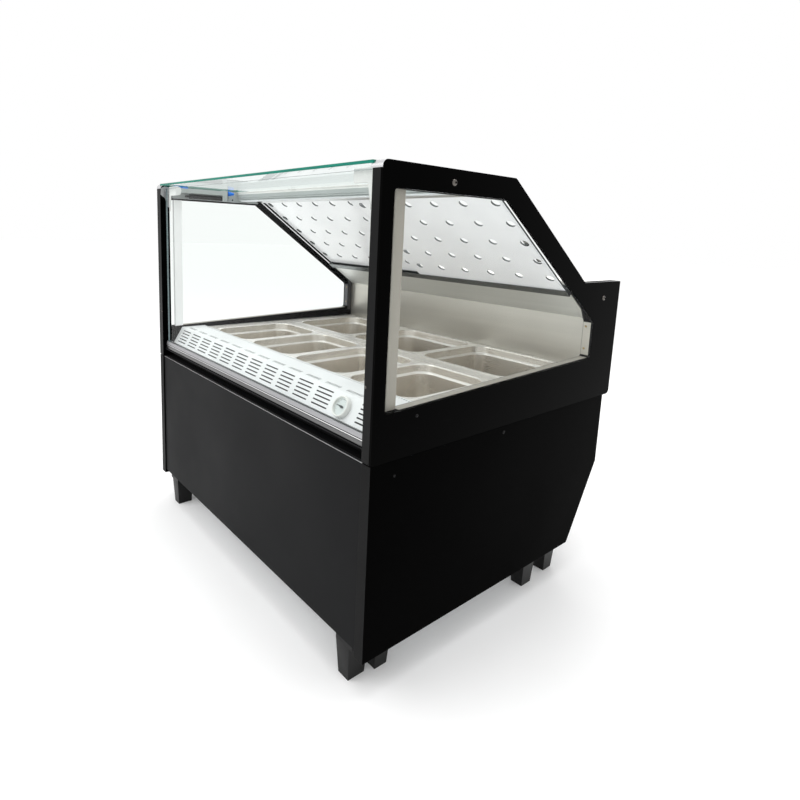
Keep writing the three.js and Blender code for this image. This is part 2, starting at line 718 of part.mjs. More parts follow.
function hingeClamp(sign) {
  const x = sign < 0 ? [-CLAMP.outer, -CLAMP.inner] : [CLAMP.inner, CLAMP.outer];
  const barrel = rodX(PIVOT.radius, x, PIVOT.y, PIVOT.z, 32);
  const below = [PIVOT.z - PIVOT.radius + 4, PIVOT.z];
  const block = box(x, [back(CLAMP_FACE), back(PIVOT.y + PIVOT.radius - 2)], below);
  const plate = alongY(
    [
      [sign * CLAMP.inner, PIVOT.z - 2],
      [sign * CLAMP.outer, PIVOT.z - 2],
      [sign * (CLAMP.outer - 2), PIVOT.z - CLAMP.drop, 3],
      [sign * (CLAMP.outer - 2 - CLAMP.tip), PIVOT.z - CLAMP.drop, 3],
      [sign * CLAMP.inner, PIVOT.z - CLAMP.shoulder],
    ],
    [CLAMP_FACE, CLAMP_FACE + CLAMP.plate],
    3,
  );
  const glassRoom = box([x[0] - 1, x[1] + 1], [back(0), back(CLAMP_FACE)], [PIVOT.z - 40, PIVOT.z + 40]);
  const bore = rodX(PIN.bore, [x[0] - 1, x[1] + 1], PIVOT.y, PIVOT.z, 24);
  return carve([barrel, block, plate], [glassRoom, bore]);
}

function hingePin(sign) {
  const from = (a, b) => (sign < 0 ? [-b, -a] : [a, b]);
  const bush = rodX(PIN.bush, from(GLASS_HALF + 1, SPAN), PIVOT.y, PIVOT.z, 24);
  const pin = rodX(PIN.radius, from(PIN.start, GLASS_HALF + 2), PIVOT.y, PIVOT.z, 24);
  return carve([bush, pin]);
}

const STRUT = {
  x: [534, 567],
  front: 52,
  rear: 236,
  bottom: 1134,
  top: HEIGHT - TOP_PANE - 1,
  bore: 5.4,
  axisZ: 1143,
  cap: 18, // the rear cap's depth, front to back
  capDrop: 20, // how far the cap reaches below the body, round the gas spring
};
const PLUNGER = { radius: 5, start: 150, coneRoot: 243, coneTip: 268, rootRadius: 8, tipRadius: 3 };
const SPRING = { z: 1123, radius: 8, front: 82, rear: 238 };

function strutHousing(sign) {
  const middle = (sign * (STRUT.x[0] + STRUT.x[1])) / 2;
  const half = (STRUT.x[1] - STRUT.x[0]) / 2;
  const span = [middle - half, middle + half];
  const capFront = STRUT.rear - STRUT.cap;
  const body = box(span, [back(STRUT.front), back(capFront + 2)], [STRUT.bottom, STRUT.top - 2]);
  const capHeight = [STRUT.bottom - STRUT.capDrop, STRUT.top];
  const cap = box(span, [back(capFront), back(STRUT.rear)], capHeight);
  const bore = rodY(STRUT.bore, middle, [PLUNGER.start - 30, STRUT.rear + 5], STRUT.axisZ, 16);
  const seat = rodY(SPRING.radius + GAP, middle, [STRUT.rear - 30, STRUT.rear + 5], SPRING.z, 16);
  return carve([body, cap], [bore, seat]);
}

function strutPlunger(sign) {
  const middle = (sign * (STRUT.x[0] + STRUT.x[1])) / 2;
  const { radius, start, coneRoot, coneTip, rootRadius, tipRadius } = PLUNGER;
  const cone = new THREE.CylinderGeometry(tipRadius, rootRadius, coneTip - coneRoot, 20);
  cone.translate(middle, back((coneRoot + coneTip) / 2), STRUT.axisZ);
  const shaft = rodY(radius, middle, [start, coneRoot + 2], STRUT.axisZ, 16);
  return carve([cone, shaft]);
}

for (const [side, sign] of SIDES) {
  const middle = (sign * (STRUT.x[0] + STRUT.x[1])) / 2;
  piece(`hinge_clamp_${side}`, hingeClamp(sign), PALE_GREY);
  piece(`hinge_pin_${side}`, hingePin(sign), ALUMINIUM);
  piece(`strut_housing_${side}`, strutHousing(sign), PALE_GREY);
  piece(`strut_plunger_${side}`, strutPlunger(sign), BLUE_PLASTIC);
  const spring = rodY(SPRING.radius, middle, [SPRING.front, SPRING.rear], SPRING.z, 16);
  piece(`gas_spring_${side}`, spring, BLACK_PLASTIC);
}

// ---- Sliding doors, their rails and the wall behind the pans ------------------------------------
const FIN = 2;
const GROOVE = 8;
const TRACK_START = 26; // how far inside the slope's outer line the rails start
const RAIL_WEB = 4;
const RAIL_DEEP = 28;
const TOP_RAIL = -24; // along the slope
const BOTTOM_RAIL = 418;
const TRACKS = 2;

// An E-shaped rail: a web with three fins. The fins point down the slope, or up it when flipped.
function doorRail(start, flipped) {
  const s = (along) => (flipped ? start + RAIL_DEEP - along : start + along);
  const points = [[s(0), TRACK_START]];
  let p = TRACK_START;
  for (let fin = 0; fin <= TRACKS; fin += 1) {
    points.push([s(RAIL_DEEP), p], [s(RAIL_DEEP), p + FIN]);
    if (fin < TRACKS) points.push([s(RAIL_WEB), p + FIN], [s(RAIL_WEB), p + FIN + GROOVE]);
    p += FIN + GROOVE;
  }
  points.push([s(0), p - GROOVE]);
  return slopeProfile(points, [-SPAN, SPAN]);
}
piece("door_rail_top", doorRail(TOP_RAIL, false), ALUMINIUM);
piece("door_rail_bottom", doorRail(BOTTOM_RAIL, true), ALUMINIUM);

const DOOR = { thickness: 5, outer: 566, overlap: 12, top: -14, bottom: 441 };
const DOOR_HOLES = { radius: 12.5, first: 33, pitch: 102, columns: 6, top: 34, step: 82, rows: 5 };

// A perforated pane drawn flat on the slope, then lifted onto its track.
function door(sign, track) {
  const shape = new THREE.Shape();
  const [near, far] = [-DOOR.overlap * sign, DOOR.outer * sign];
  shape.moveTo(near, -DOOR.top);
  shape.lineTo(far, -DOOR.top);
  shape.lineTo(far, -DOOR.bottom);
  shape.lineTo(near, -DOOR.bottom);
  for (let column = 0; column < DOOR_HOLES.columns; column += 1) {
    for (let row = 0; row < DOOR_HOLES.rows; row += 1) {
      const hole = new THREE.Path();
      const x = sign * (DOOR_HOLES.first + column * DOOR_HOLES.pitch);
      const s = DOOR_HOLES.top + row * DOOR_HOLES.step;
      hole.absarc(x, -s, DOOR_HOLES.radius, 0, Math.PI * 2);
      shape.holes.push(hole);
    }
  }
  const geometry = extrude(shape, DOOR.thickness, 5);
  const lowered = TRACK_START + FIN + track * (FIN + GROOVE) + (GROOVE - DOOR.thickness) / 2;
  const [y, z] = slopePoint(0, lowered);
  const place = new THREE.Matrix4().makeBasis(
    new THREE.Vector3(1, 0, 0),
    new THREE.Vector3(0, -RUN.x, -RUN.y),
    new THREE.Vector3(0, INWARD.x, INWARD.y),
  );
  place.setPosition(0, back(y), z);
  return geometry.applyMatrix4(place);
}
piece("door_left", door(-1, 0), WHITE);
piece("door_right", door(1, 1), WHITE);

const WALL = { y: 862, kink: 793, foot: DECK_SHEET + GAP };
function backWall() {
  const start = slopePoint(BOTTOM_RAIL + RAIL_DEEP + 1, TRACK_START + 14);
  const rise = [-INWARD.x * LINER, -INWARD.y * LINER];
  const points = [
    start,
    [WALL.y, WALL.kink],
    [WALL.y, WALL.foot],
    [WALL.y + LINER, WALL.foot],
    [WALL.y + LINER, WALL.kink + 1],
    [start[0] + rise[0], start[1] + rise[1]],
  ];
  return alongX(points, [-SPAN, SPAN]);
}
piece("back_wall", backWall(), STAINLESS);

// ---- Refrigeration ------------------------------------------------------------------------------
const SHELF = BODY_BOTTOM + BASE_PLATE + GAP;

const COMPRESSOR = { x: -330, y: 470, half: [105, 80], legs: [88, 64], leg: 12, plate: [22, 30] };
const SHELL = [
  [0, 28],
  [60, 28],
  [82, 45],
  [88, 100],
  [86, 150],
  [60, 178],
  [0, 186],
];

function compressor() {
  const { x, y, half, legs, leg, plate } = COMPRESSOR;
  const shell = new THREE.LatheGeometry(SHELL.map(([r, z]) => new THREE.Vector2(r, z)), 24);
  shell.rotateX(Math.PI / 2).translate(x, back(y), SHELF);
  const foot = box(
    [x - half[0], x + half[0]],
    [back(y - half[1]), back(y + half[1])],
    [SHELF + plate[0], SHELF + plate[1]],
  );
  const parts = [shell, foot];
  for (const [sx, sy] of [[-1, -1], [1, -1], [1, 1], [-1, 1]]) {
    parts.push(rodZ(leg, x + sx * legs[0], y + sy * legs[1], [SHELF, SHELF + plate[0] + 4], 12));
  }
  return carve(parts);
}
piece("compressor", compressor(), ENAMEL);

// A finned block: two header plates tied by straight tubes, with thin fins between them.
function finBlock(x, y, z, fins) {
  const step = (x[1] - x[0]) / fins;
  const thin = 1.5;
  const middleY = (y[0] + y[1]) / 2;
  const parts = [0.2, 0.5, 0.8].map((w) => rodX(6, x, middleY, z[0] + (z[1] - z[0]) * w, 6));
  for (let i = 0; i <= fins; i += 1) {
    const at = x[0] + i * step;
    parts.push(box([at - thin, at + thin], [back(y[0]), back(y[1])], z));
  }
  return carve(parts);
}
const CONDENSER = { x: [60, 320], y: [520, 590], z: [SHELF, 290] };
piece("condenser", finBlock(CONDENSER.x, CONDENSER.y, CONDENSER.z, 5), ALUMINIUM);
const EVAPORATOR = { x: [-440, 440], y: [600, 780], z: [TUB.floor + GAP, 430] };
piece("evaporator", finBlock(EVAPORATOR.x, EVAPORATOR.y, EVAPORATOR.z, 8), ALUMINIUM);

// A hub with flat pitched blades, turning about a line along Y.
function fan(x, y, z, radius, blades) {
  const hub = 22;
  const half = 12;
  const blade = { thickness: 2.5, chord: 44, pitch: 0.5, root: 4 };
  const parts = [rodY(hub, x, [y - half, y + half], z, 16)];
  for (let i = 0; i < blades; i += 1) {
    const length = radius - hub + blade.root;
    const vane = new THREE.BoxGeometry(length, blade.thickness, blade.chord);
    vane.rotateX(blade.pitch).translate(radius - length / 2, 0, 0);
    vane.rotateY((i / blades) * Math.PI * 2).translate(x, back(y), z);
    parts.push(vane);
  }
  return carve(parts);
}
const CONDENSER_FAN = { x: 190, y: 640, z: 200, radius: 88 };
const EVAPORATOR_FAN = { x: 0, y: 560, z: 392, radius: 46 };
for (const [name, at] of Object.entries({
  condenser_fan: CONDENSER_FAN,
  evaporator_fan: EVAPORATOR_FAN,
})) {
  piece(name, fan(at.x, at.y, at.z, at.radius, 5), BLACK_PLASTIC);
}

// ---- Staff side controls ------------------------------------------------------------------------
const PANEL = { x: [300, 520], z: [760, 830], front: REAR_FACE + GAP, rear: REAR_FACE + 9 };
const SWITCH = { half: [10, 11], hole: [10.6, 14], z: 795, y: REAR_FACE + 5, low: 4, high: 7.5, root: 3 };
const SWITCH_X = { light: 455, power: 492 };

function controlPanel() {
  const y = [back(PANEL.front), back(PANEL.rear)];
  const plate = box(PANEL.x, y, PANEL.z);
  const cuts = Object.values(SWITCH_X).map((x) =>
    box(
      [x - SWITCH.hole[0], x + SWITCH.hole[0]],
      [y[0] - 1, y[1] + 1],
      [SWITCH.z - SWITCH.hole[1], SWITCH.z + SWITCH.hole[1]],
    ),
  );
  return carve([plate], cuts);
}
piece("control_panel", controlPanel(), BLACK_PLASTIC);

function rocker(x) {
  const [half, tall] = SWITCH.half;
  const profile = [
    [SWITCH.y - SWITCH.root, SWITCH.z - tall / 2],
    [SWITCH.y, SWITCH.z - tall],
    [SWITCH.y + SWITCH.low, SWITCH.z - tall],
    [SWITCH.y + SWITCH.low + 0.5, SWITCH.z],
    [SWITCH.y + SWITCH.high, SWITCH.z + tall],
    [SWITCH.y, SWITCH.z + tall],
    [SWITCH.y - SWITCH.root, SWITCH.z + tall / 2],
  ];
  return alongX(profile, [x - half, x + half]);
}
piece("light_switch", rocker(SWITCH_X.light), RED);
piece("power_switch", rocker(SWITCH_X.power), RED);

export default group;
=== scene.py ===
"""The ice cream dipping cabinet's looks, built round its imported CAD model, in metres."""

import json
import math

import bmesh
import bpy
from mathutils import Matrix, Vector

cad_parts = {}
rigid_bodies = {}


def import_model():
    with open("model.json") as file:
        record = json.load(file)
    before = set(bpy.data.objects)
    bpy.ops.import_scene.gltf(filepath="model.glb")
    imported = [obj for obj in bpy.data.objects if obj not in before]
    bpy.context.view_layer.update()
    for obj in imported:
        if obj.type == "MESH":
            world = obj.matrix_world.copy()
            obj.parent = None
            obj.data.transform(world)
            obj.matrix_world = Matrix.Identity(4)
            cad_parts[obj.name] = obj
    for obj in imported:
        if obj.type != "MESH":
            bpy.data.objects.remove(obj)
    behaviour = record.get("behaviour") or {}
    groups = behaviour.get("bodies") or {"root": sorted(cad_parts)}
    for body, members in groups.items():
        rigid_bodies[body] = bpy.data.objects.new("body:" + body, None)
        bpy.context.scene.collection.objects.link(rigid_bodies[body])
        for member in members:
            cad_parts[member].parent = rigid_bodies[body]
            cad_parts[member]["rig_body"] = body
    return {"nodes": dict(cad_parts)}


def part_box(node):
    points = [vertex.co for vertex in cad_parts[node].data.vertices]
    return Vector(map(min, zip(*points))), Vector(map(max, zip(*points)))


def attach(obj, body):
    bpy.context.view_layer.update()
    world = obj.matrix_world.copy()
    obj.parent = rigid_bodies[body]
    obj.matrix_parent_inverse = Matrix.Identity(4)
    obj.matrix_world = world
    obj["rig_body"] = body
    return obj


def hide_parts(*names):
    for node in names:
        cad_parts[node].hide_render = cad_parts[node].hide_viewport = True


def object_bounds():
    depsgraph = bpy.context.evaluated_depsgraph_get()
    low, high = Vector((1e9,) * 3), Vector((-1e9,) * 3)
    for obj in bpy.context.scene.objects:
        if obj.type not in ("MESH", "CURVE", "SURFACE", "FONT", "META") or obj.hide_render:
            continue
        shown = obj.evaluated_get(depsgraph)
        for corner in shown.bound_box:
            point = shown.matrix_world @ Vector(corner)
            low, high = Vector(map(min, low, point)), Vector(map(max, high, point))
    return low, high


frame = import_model()
CAD_LOW, CAD_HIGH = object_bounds()

MM = 0.001
HALF = CAD_HIGH.x
FRONT = CAD_LOW.y
TOP = CAD_HIGH.z
SIDES = (("left", -1), ("right", 1))
CABINET = "cabinet"
GLASS_UNIT = "front_glass_unit"


def back(distance):
    """A distance in millimetres back from the cabinet's front, as a Y coordinate."""
    return FRONT + distance * MM


def show(name, data):
    """A new object in the scene."""
    obj = bpy.data.objects.new(name, data)
    bpy.context.scene.collection.objects.link(obj)
    return obj


# ---- Camera, light and floor ---------------------------------------------------------------------


def make_camera():
    """The photograph's viewpoint: high and to the right of the front, with a wide lens."""
    azimuth, dip, roll = (math.radians(a) for a in (50.18, 9.11, 2.21))
    forward = Vector(
        (-math.sin(azimuth) * math.cos(dip), math.cos(azimuth) * math.cos(dip), -math.sin(dip))
    )
    level_right = Vector((math.cos(azimuth), math.sin(azimuth), 0))
    level_up = level_right.cross(forward)
    right = math.cos(roll) * level_right + math.sin(roll) * level_up
    up = math.cos(roll) * level_up - math.sin(roll) * level_right
    data = bpy.data.cameras.new("camera")
    data.sensor_width = 36
    data.lens = 24.79
    data.shift_x = 0.045
    data.shift_y = -0.100
    data.clip_start = 0.02
    camera = show("camera", data)
    turn = Matrix((right, up, -forward)).transposed().to_4x4()
    camera.matrix_world = Matrix.Translation((1.395, -1.1849, 1.0238)) @ turn
    bpy.context.scene.camera = camera


def area_light(name, place, target, size, power):
    """A rectangular lamp that faces a target."""
    data = bpy.data.lights.new(name, "AREA")
    data.shape = "RECTANGLE"
    data.size, data.size_y = size
    data.energy = power
    light = show(name, data)
    light.location = place
    aim = Vector(target) - Vector(place)
    light.rotation_euler = aim.to_track_quat("-Z", "Y").to_euler()


def make_light():
    scene = bpy.context.scene
    scene.view_settings.view_transform = "Standard"
    world = bpy.data.worlds.new("studio")
    scene.world = world
    world.use_nodes = True
    sky = world.node_tree.nodes["Background"]
    sky.inputs["Color"].default_value = (1.0, 1.0, 1.0, 1)
    sky.inputs["Strength"].default_value = 1.0
    area_light("key", (-1.0, -3.2, 3.2), (0, 0, 0.6), (2.6, 2.0), 45)
    area_light("overhead", (0.1, 0.1, 3.4), (0, 0, 0.5), (2.6, 2.2), 45)
    area_light("rear_fill", (-1.6, 3.0, 2.2), (0, 0, 0.6), (2.0, 1.6), 20)


def make_floor():
    bpy.ops.mesh.primitive_plane_add(size=60, location=(0, 0, 0))
    floor = bpy.context.object
    floor.name = "floor"
    floor.data.materials.append(plain("floor_paint", (0.93, 0.93, 0.93), roughness=0.95, glowing=0.09))


# ---- Materials -----------------------------------------------------------------------------------


def shader(name):
    """A new material with its node tree and its shader node."""
    material = bpy.data.materials.new(name)
    material.use_nodes = True
    tree = material.node_tree
    return material, tree, tree.nodes["Principled BSDF"]


def settle(tree, made, values):
    """Sets a node's inputs by name: another node's output is linked, anything else is a constant."""
    for key, value in values.items():
        if isinstance(value, bpy.types.NodeSocket):
            tree.links.new(value, made.inputs[key])
        else:
            made.inputs[key].default_value = value


def node(tree, kind, output, values, **settings):
    """A new node with its settings and inputs, given back as one of its outputs."""
    made = tree.nodes.new(kind)
    for key, value in settings.items():
        setattr(made, key, value)
    settle(tree, made, values)
    return made.outputs[output]


def noise(tree, scale, detail=4.0, stretch=(1, 1, 1)):
    """Noise in the object's own coordinates, stretched by a scale along each axis."""
    place = node(tree, "ShaderNodeTexCoord", "Object", {})
    points = node(tree, "ShaderNodeMapping", "Vector", {"Vector": place, "Scale": stretch})
    values = {"Vector": points, "Scale": scale, "Detail": detail, "Roughness": 0.5}
    return node(tree, "ShaderNodeTexNoise", "Fac", values)


def spread(tree, value, low, high):
    """Noise turned into a value between low and high."""
    values = {"Value": value, "From Min": 0.3, "From Max": 0.7, "To Min": low, "To Max": high}
    return node(tree, "ShaderNodeMapRange", "Result", values)


def sums(tree, operation, one, two):
    """Two values put through one arithmetic operation."""
    return node(tree, "ShaderNodeMath", 0, {0: one, 1: two}, operation=operation)


def tint(tree, value, dark, light):
    """Noise turned into a colour between dark and light."""
    colour = node(tree, "ShaderNodeValToRGB", "Color", {"Fac": value})
    for element, place, shown in zip(colour.node.color_ramp.elements, (0.3, 0.7), (dark, light)):
        element.color = (*shown, 1)
        element.position = place
    return colour


def bump(tree, height, strength, distance):
    """Relief from noise, its depth in metres."""
    values = {"Height": height, "Strength": strength, "Distance": distance}
    return node(tree, "ShaderNodeBump", "Normal", values)


def shade(colour, factor):
    return tuple(min(1.0, c * factor) for c in colour)


def plain(name, colour, roughness=0.5, glowing=0.0):
    """A matt surface with a faint mottle."""
    material, tree, bsdf = shader(name)
    mottle = noise(tree, 6, 3)
    values = {
        "Base Color": tint(tree, mottle, shade(colour, 0.99), shade(colour, 1.01)),
        "Roughness": roughness,
        "Emission Color": (1, 1, 1, 1),
        "Emission Strength": glowing,
    }
    settle(tree, bsdf, values)
    return material


def paint(name, colour, roughness, grain=900, depth=0.1, spread_by=0.06, specular=0.5, glowing=0.0):
    """Powder coat or moulded plastic: a fine orange peel, and slow changes of tone and gloss."""
    material, tree, bsdf = shader(name)
    slow = noise(tree, 3.5, 5)
    values = {
        "Base Color": tint(tree, slow, shade(colour, 0.93), shade(colour, 1.07)),
        "Roughness": spread(tree, slow, roughness - spread_by, roughness + spread_by),
        "Normal": bump(tree, noise(tree, grain, 2), depth, 0.0002),
        "Specular IOR Level": specular,
        "Emission Color": (*shade(colour, 1.1), 1),
        "Emission Strength": glowing,
    }
    settle(tree, bsdf, values)
    return material


def brushed(name, colour, roughness, along="x", depth=0.03, cloud=0.03, metal=1.0):
    """Metal brushed along one axis: fine scratches, soft streaks, and cloudy patches of polish."""
    material, tree, bsdf = shader(name)
    fine = [4 if axis == along else 900 for axis in "xyz"]
    wide = [1.2 if axis == along else 40 for axis in "xyz"]
    scratches = noise(tree, 1.0, 2, fine)
    streaks = noise(tree, 1.0, 3, wide)
    clouds = noise(tree, 2.5, 3)
    polish = spread(tree, scratches, roughness - 0.015, roughness + 0.015)
    values = {
        "Base Color": tint(tree, streaks, shade(colour, 0.96), shade(colour, 1.03)),
        "Metallic": metal,
        "Roughness": sums(tree, "ADD", polish, spread(tree, clouds, -cloud, cloud)),
        "Normal": bump(tree, scratches, depth, 0.0001),
    }
    settle(tree, bsdf, values)
    return material


def clear(name, colour, ior=1.12):
    """Clear glass seen from any side: straight through, with a Fresnel reflection on its outer faces."""
    material, tree, bsdf = shader(name)
    tree.nodes.remove(bsdf)
    through = node(tree, "ShaderNodeBsdfTransparent", 0, {"Color": (*colour, 1)})
    gloss = node(tree, "ShaderNodeBsdfGlossy", 0, {"Color": (1, 1, 1, 1), "Roughness": 0.01})
    fresnel = node(tree, "ShaderNodeFresnel", 0, {"IOR": ior})
    outer = sums(tree, "SUBTRACT", 1, node(tree, "ShaderNodeNewGeometry", "Backfacing", {}))
    share = sums(tree, "MULTIPLY", fresnel, outer)
    surface = node(tree, "ShaderNodeMixShader", 0, {"Fac": share, 1: through, 2: gloss})
    tree.links.new(surface, tree.nodes["Material Output"].inputs["Surface"])
    return material


def edge_glass(name, colour):
    """The cut edge of a pane, where light gathers into green."""
    material, tree, bsdf = shader(name)
    bands = noise(tree, 1.0, 3, (18, 60, 400))
    values = {
        "Base Color": tint(tree, bands, shade(colour, 0.75), shade(colour, 1.3)),
        "Roughness": 0.2,
        "Specular IOR Level": 0.15,
        "Emission Color": (*colour, 1),
        "Emission Strength": 0.12,
    }
    settle(tree, bsdf, values)
    return material


def glow(name, colour, strength):
    """A lit surface."""
    material, tree, bsdf = shader(name)
    values = {
        "Base Color": tint(tree, noise(tree, 60, 2), shade(colour, 0.96), colour),
        "Emission Color": (*colour, 1),
        "Emission Strength": strength,
        "Roughness": 0.3,
    }
    settle(tree, bsdf, values)
    return material


def make_looks():
    return {
        "black": paint("black_coat", (0.0006, 0.0006, 0.0006), 0.4, specular=0.006),
        "black_gloss": paint(
            "black_gloss", (0.0007, 0.0007, 0.0007), 0.1, grain=300, depth=0.02, specular=0.012
        ),
        "post": paint("post_coat", (0.006, 0.006, 0.0062), 0.42, specular=0.08),
        "charcoal_dark": paint("charcoal_edge", (0.004, 0.004, 0.0042), 0.5, specular=0.08),
        "charcoal": paint("charcoal_coat", (0.0085, 0.0087, 0.0092), 0.5, grain=1200, specular=0.045),
        "inner_black": paint("inner_black", (0.0008, 0.0008, 0.0008), 0.45, depth=0.0, specular=0.004),
        "foot": paint("foot_plastic", (0.006, 0.006, 0.006), 0.4, grain=1500, specular=0.16),
        "black_plastic": paint("black_plastic", (0.004, 0.004, 0.0045), 0.45, grain=1500, specular=0.15),
        "rubber": paint("gasket_rubber", (0.004, 0.004, 0.004), 0.6, grain=700, specular=0.1),
        # Near-black for the walls of the grille's slots: painted shade in the slots.
        "slot_painted_shade": paint("slot_painted_shade", (0.018, 0.02, 0.022), 0.7, specular=0.05),
        "duct_shade": paint("duct_shade", (0.02, 0.021, 0.022), 0.5, specular=0.2),
        # Chrome darkened to the dark surroundings it reflects: a painted reflection.
        "chrome": brushed("chrome_screw_painted_reflection", (0.13, 0.12, 0.11), 0.2, "z", depth=0.01, cloud=0.02),
        "cap_silver": brushed("cap_silver", (0.62, 0.62, 0.63), 0.28, "x"),
        "rail_alu": brushed("rail_aluminium", (0.36, 0.36, 0.37), 0.36, "x", metal=0.7),
        "rail_shade": brushed("rail_shade", (0.13, 0.13, 0.13), 0.3, "x", cloud=0.08),
        # A darker copy of the rail aluminium: painted shade for the bottom door rail.
        "rail_dark": brushed("rail_dark", (0.16, 0.17, 0.17), 0.36, "x"),
        "stainless": brushed("stainless_brushed", (0.62, 0.60, 0.565), 0.3, "x"),
        "wall": brushed("stainless_wall", (0.6, 0.575, 0.525), 0.38, "x", depth=0.02, cloud=0.05, metal=0.8),
        # One pan steel in three tones of painted light: the floor, the walls darker as painted shade, the rim
        # and bead bands brighter as painted highlight.
        "pan": brushed("pan_satin", (0.9, 0.87, 0.82), 0.3, "y", depth=0.0, cloud=0.04, metal=0.5),
        "pan_wall_painted_shade": brushed("pan_wall_painted_shade", (0.66, 0.62, 0.565), 0.27, "x", depth=0.0, cloud=0.05, metal=0.8),
        "pan_rim_painted_highlight": brushed("pan_rim_painted_highlight", (0.86, 0.83, 0.79), 0.26, "x", depth=0.0, cloud=0.02, metal=0.5),
        # A lighter copy of the wall steel for the wall's downward faces: painted light.
        "apron": brushed("stainless_apron_painted_light", (0.82, 0.82, 0.79), 0.45, "x", depth=0.0, cloud=0.08, metal=0.5),
        # Steel darkened to a dark reflection: a painted reflection for the cheeks and the left flange.
        "cheek": brushed("stainless_cheek_painted_reflection", (0.11, 0.11, 0.115), 0.4, "z", cloud=0.08),
        # A bright copy of the rail aluminium: a painted highlight line along the rail's ridge.
        "rail_painted_highlight": brushed("rail_painted_highlight", (0.9, 0.9, 0.9), 0.3, "x"),
        "rim_steel": brushed("rim_steel", (0.82, 0.79, 0.75), 0.34, "x", depth=0.0, metal=0.5),
        "aluminium": brushed("aluminium_satin", (0.6, 0.6, 0.61), 0.32, "x"),
        "galvanised": brushed("galvanised_steel", (0.42, 0.44, 0.45), 0.42, "y", cloud=0.1),
        "white": paint("white_enamel", (0.73, 0.735, 0.745), 0.32, depth=0.03, spread_by=0.04),
        "bezel": paint("bezel_white", (0.74, 0.74, 0.72), 0.28, depth=0.03),
        "dial": paint("dial_white", (0.72, 0.74, 0.75), 0.35, depth=0.03),
        "pointer": paint("pointer_grey", (0.07, 0.075, 0.08), 0.45, depth=0.03),
        # White acrylic with a faint glow: painted light on the doors and their guide strips.
        "acrylic": paint(
            "white_acrylic", (0.82, 0.82, 0.84), 0.16, grain=120, depth=0.02, spread_by=0.03, glowing=0.16
        ),
        # Dark grey for the doors' edges and hole walls: painted shade in the holes.
        "acrylic_edge_painted_shade": paint("acrylic_edge_painted_shade", (0.12, 0.135, 0.135), 0.3, depth=0.03),
        "pale": paint("pale_grey_plastic", (0.36, 0.385, 0.38), 0.42),
        "hinge_white": paint("hinge_white", (0.70, 0.70, 0.69), 0.3, depth=0.04),
        "strip": paint("strip_grey", (0.33, 0.305, 0.27), 0.4, specular=0.3),
        "foam": paint("foam_facing", (0.1, 0.1, 0.095), 0.9, grain=180, depth=0.5),
        "blue": paint("blue_plastic", (0.0, 0.16, 0.7), 0.4, depth=0.0, specular=0.1),
        "red": paint("red_plastic", (0.5, 0.02, 0.015), 0.3),
        "enamel": paint("compressor_enamel", (0.008, 0.008, 0.009), 0.22),
        "copper": brushed("copper_pipe", (0.72, 0.36, 0.22), 0.3, "z"),
        "brass": brushed("brass", (0.45, 0.33, 0.16), 0.3, "z"),
        "ink": paint("ink_black", (0.015, 0.015, 0.017), 0.5, depth=0.03),
        "screen": paint("screen_smoke", (0.01, 0.011, 0.014), 0.08, depth=0.02),
        "glass": clear("glass_clear", (0.985, 0.995, 0.99)),
        "top_clear": clear("glass_top", (0.95, 0.975, 0.97), 1.04),
        # A pale, glowing copy of the window bar: painted light on the left window's bar.
        "bar_pale": paint("bar_pale", (0.8, 0.8, 0.8), 0.4, specular=0.3, glowing=0.12),
        "edge": edge_glass("glass_edge", (0.002, 0.15, 0.105)),
        "pale_edge": edge_glass("glass_edge_pale", (0.16, 0.2, 0.21)),
        "lamp": glow("lamp_diffuser", (0.62, 0.64, 0.66), 0.12),
        "digits": glow("display_digits", (0.05, 0.75, 0.35), 2.5),
    }


# ---- Mesh helpers --------------------------------------------------------------------------------


def smooth_by_angle(mesh, angle=35):
    mesh.shade_smooth()
    mesh.set_sharp_from_angle(angle=math.radians(angle))


def place_piece(obj, body, look, bevel=0.0, steps=2, replaces=()):
    """Gives a finished mesh its material, its bevelled edges and the body it rides on."""
    for each in look if isinstance(look, (list, tuple)) else [look]:
        obj.data.materials.append(LOOKS[each])
    if bevel:
        edge = obj.modifiers.new("bevel", "BEVEL")
        edge.width = bevel
        edge.segments = steps
        edge.limit_method = "ANGLE"
        edge.angle_limit = math.radians(32)
        edge.harden_normals = True
    smooth_by_angle(obj.data)
    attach(obj, body)
    if replaces:
        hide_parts(*replaces)
    return obj


def fixed(obj, look, bevel=0.0, steps=2, replaces=()):
    """Places a mesh that stays with the cabinet."""
    return place_piece(obj, CABINET, look, bevel, steps, replaces)


def from_bmesh(name, bm):
    """A new object made of a bmesh, with its faces turned outwards."""
    bmesh.ops.recalc_face_normals(bm, faces=bm.faces)
    mesh = bpy.data.meshes.new(name)
    bm.to_mesh(mesh)
    bm.free()
    return show(name, mesh)


def refine(name, look, bevel=0.0008, steps=2):
    """A CAD node's own shape with flat faces merged and edges rounded, standing for the node."""
    source = frame["nodes"][name]
    bm = bmesh.new()
    bm.from_mesh(source.data)
    bmesh.ops.remove_doubles(bm, verts=bm.verts, dist=2e-5)
    bmesh.ops.dissolve_limit(bm, angle_limit=math.radians(0.8), verts=bm.verts, edges=bm.edges)
    obj = from_bmesh(name + "_fine", bm)
    return place_piece(obj, source["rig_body"], look, bevel, steps, [name])


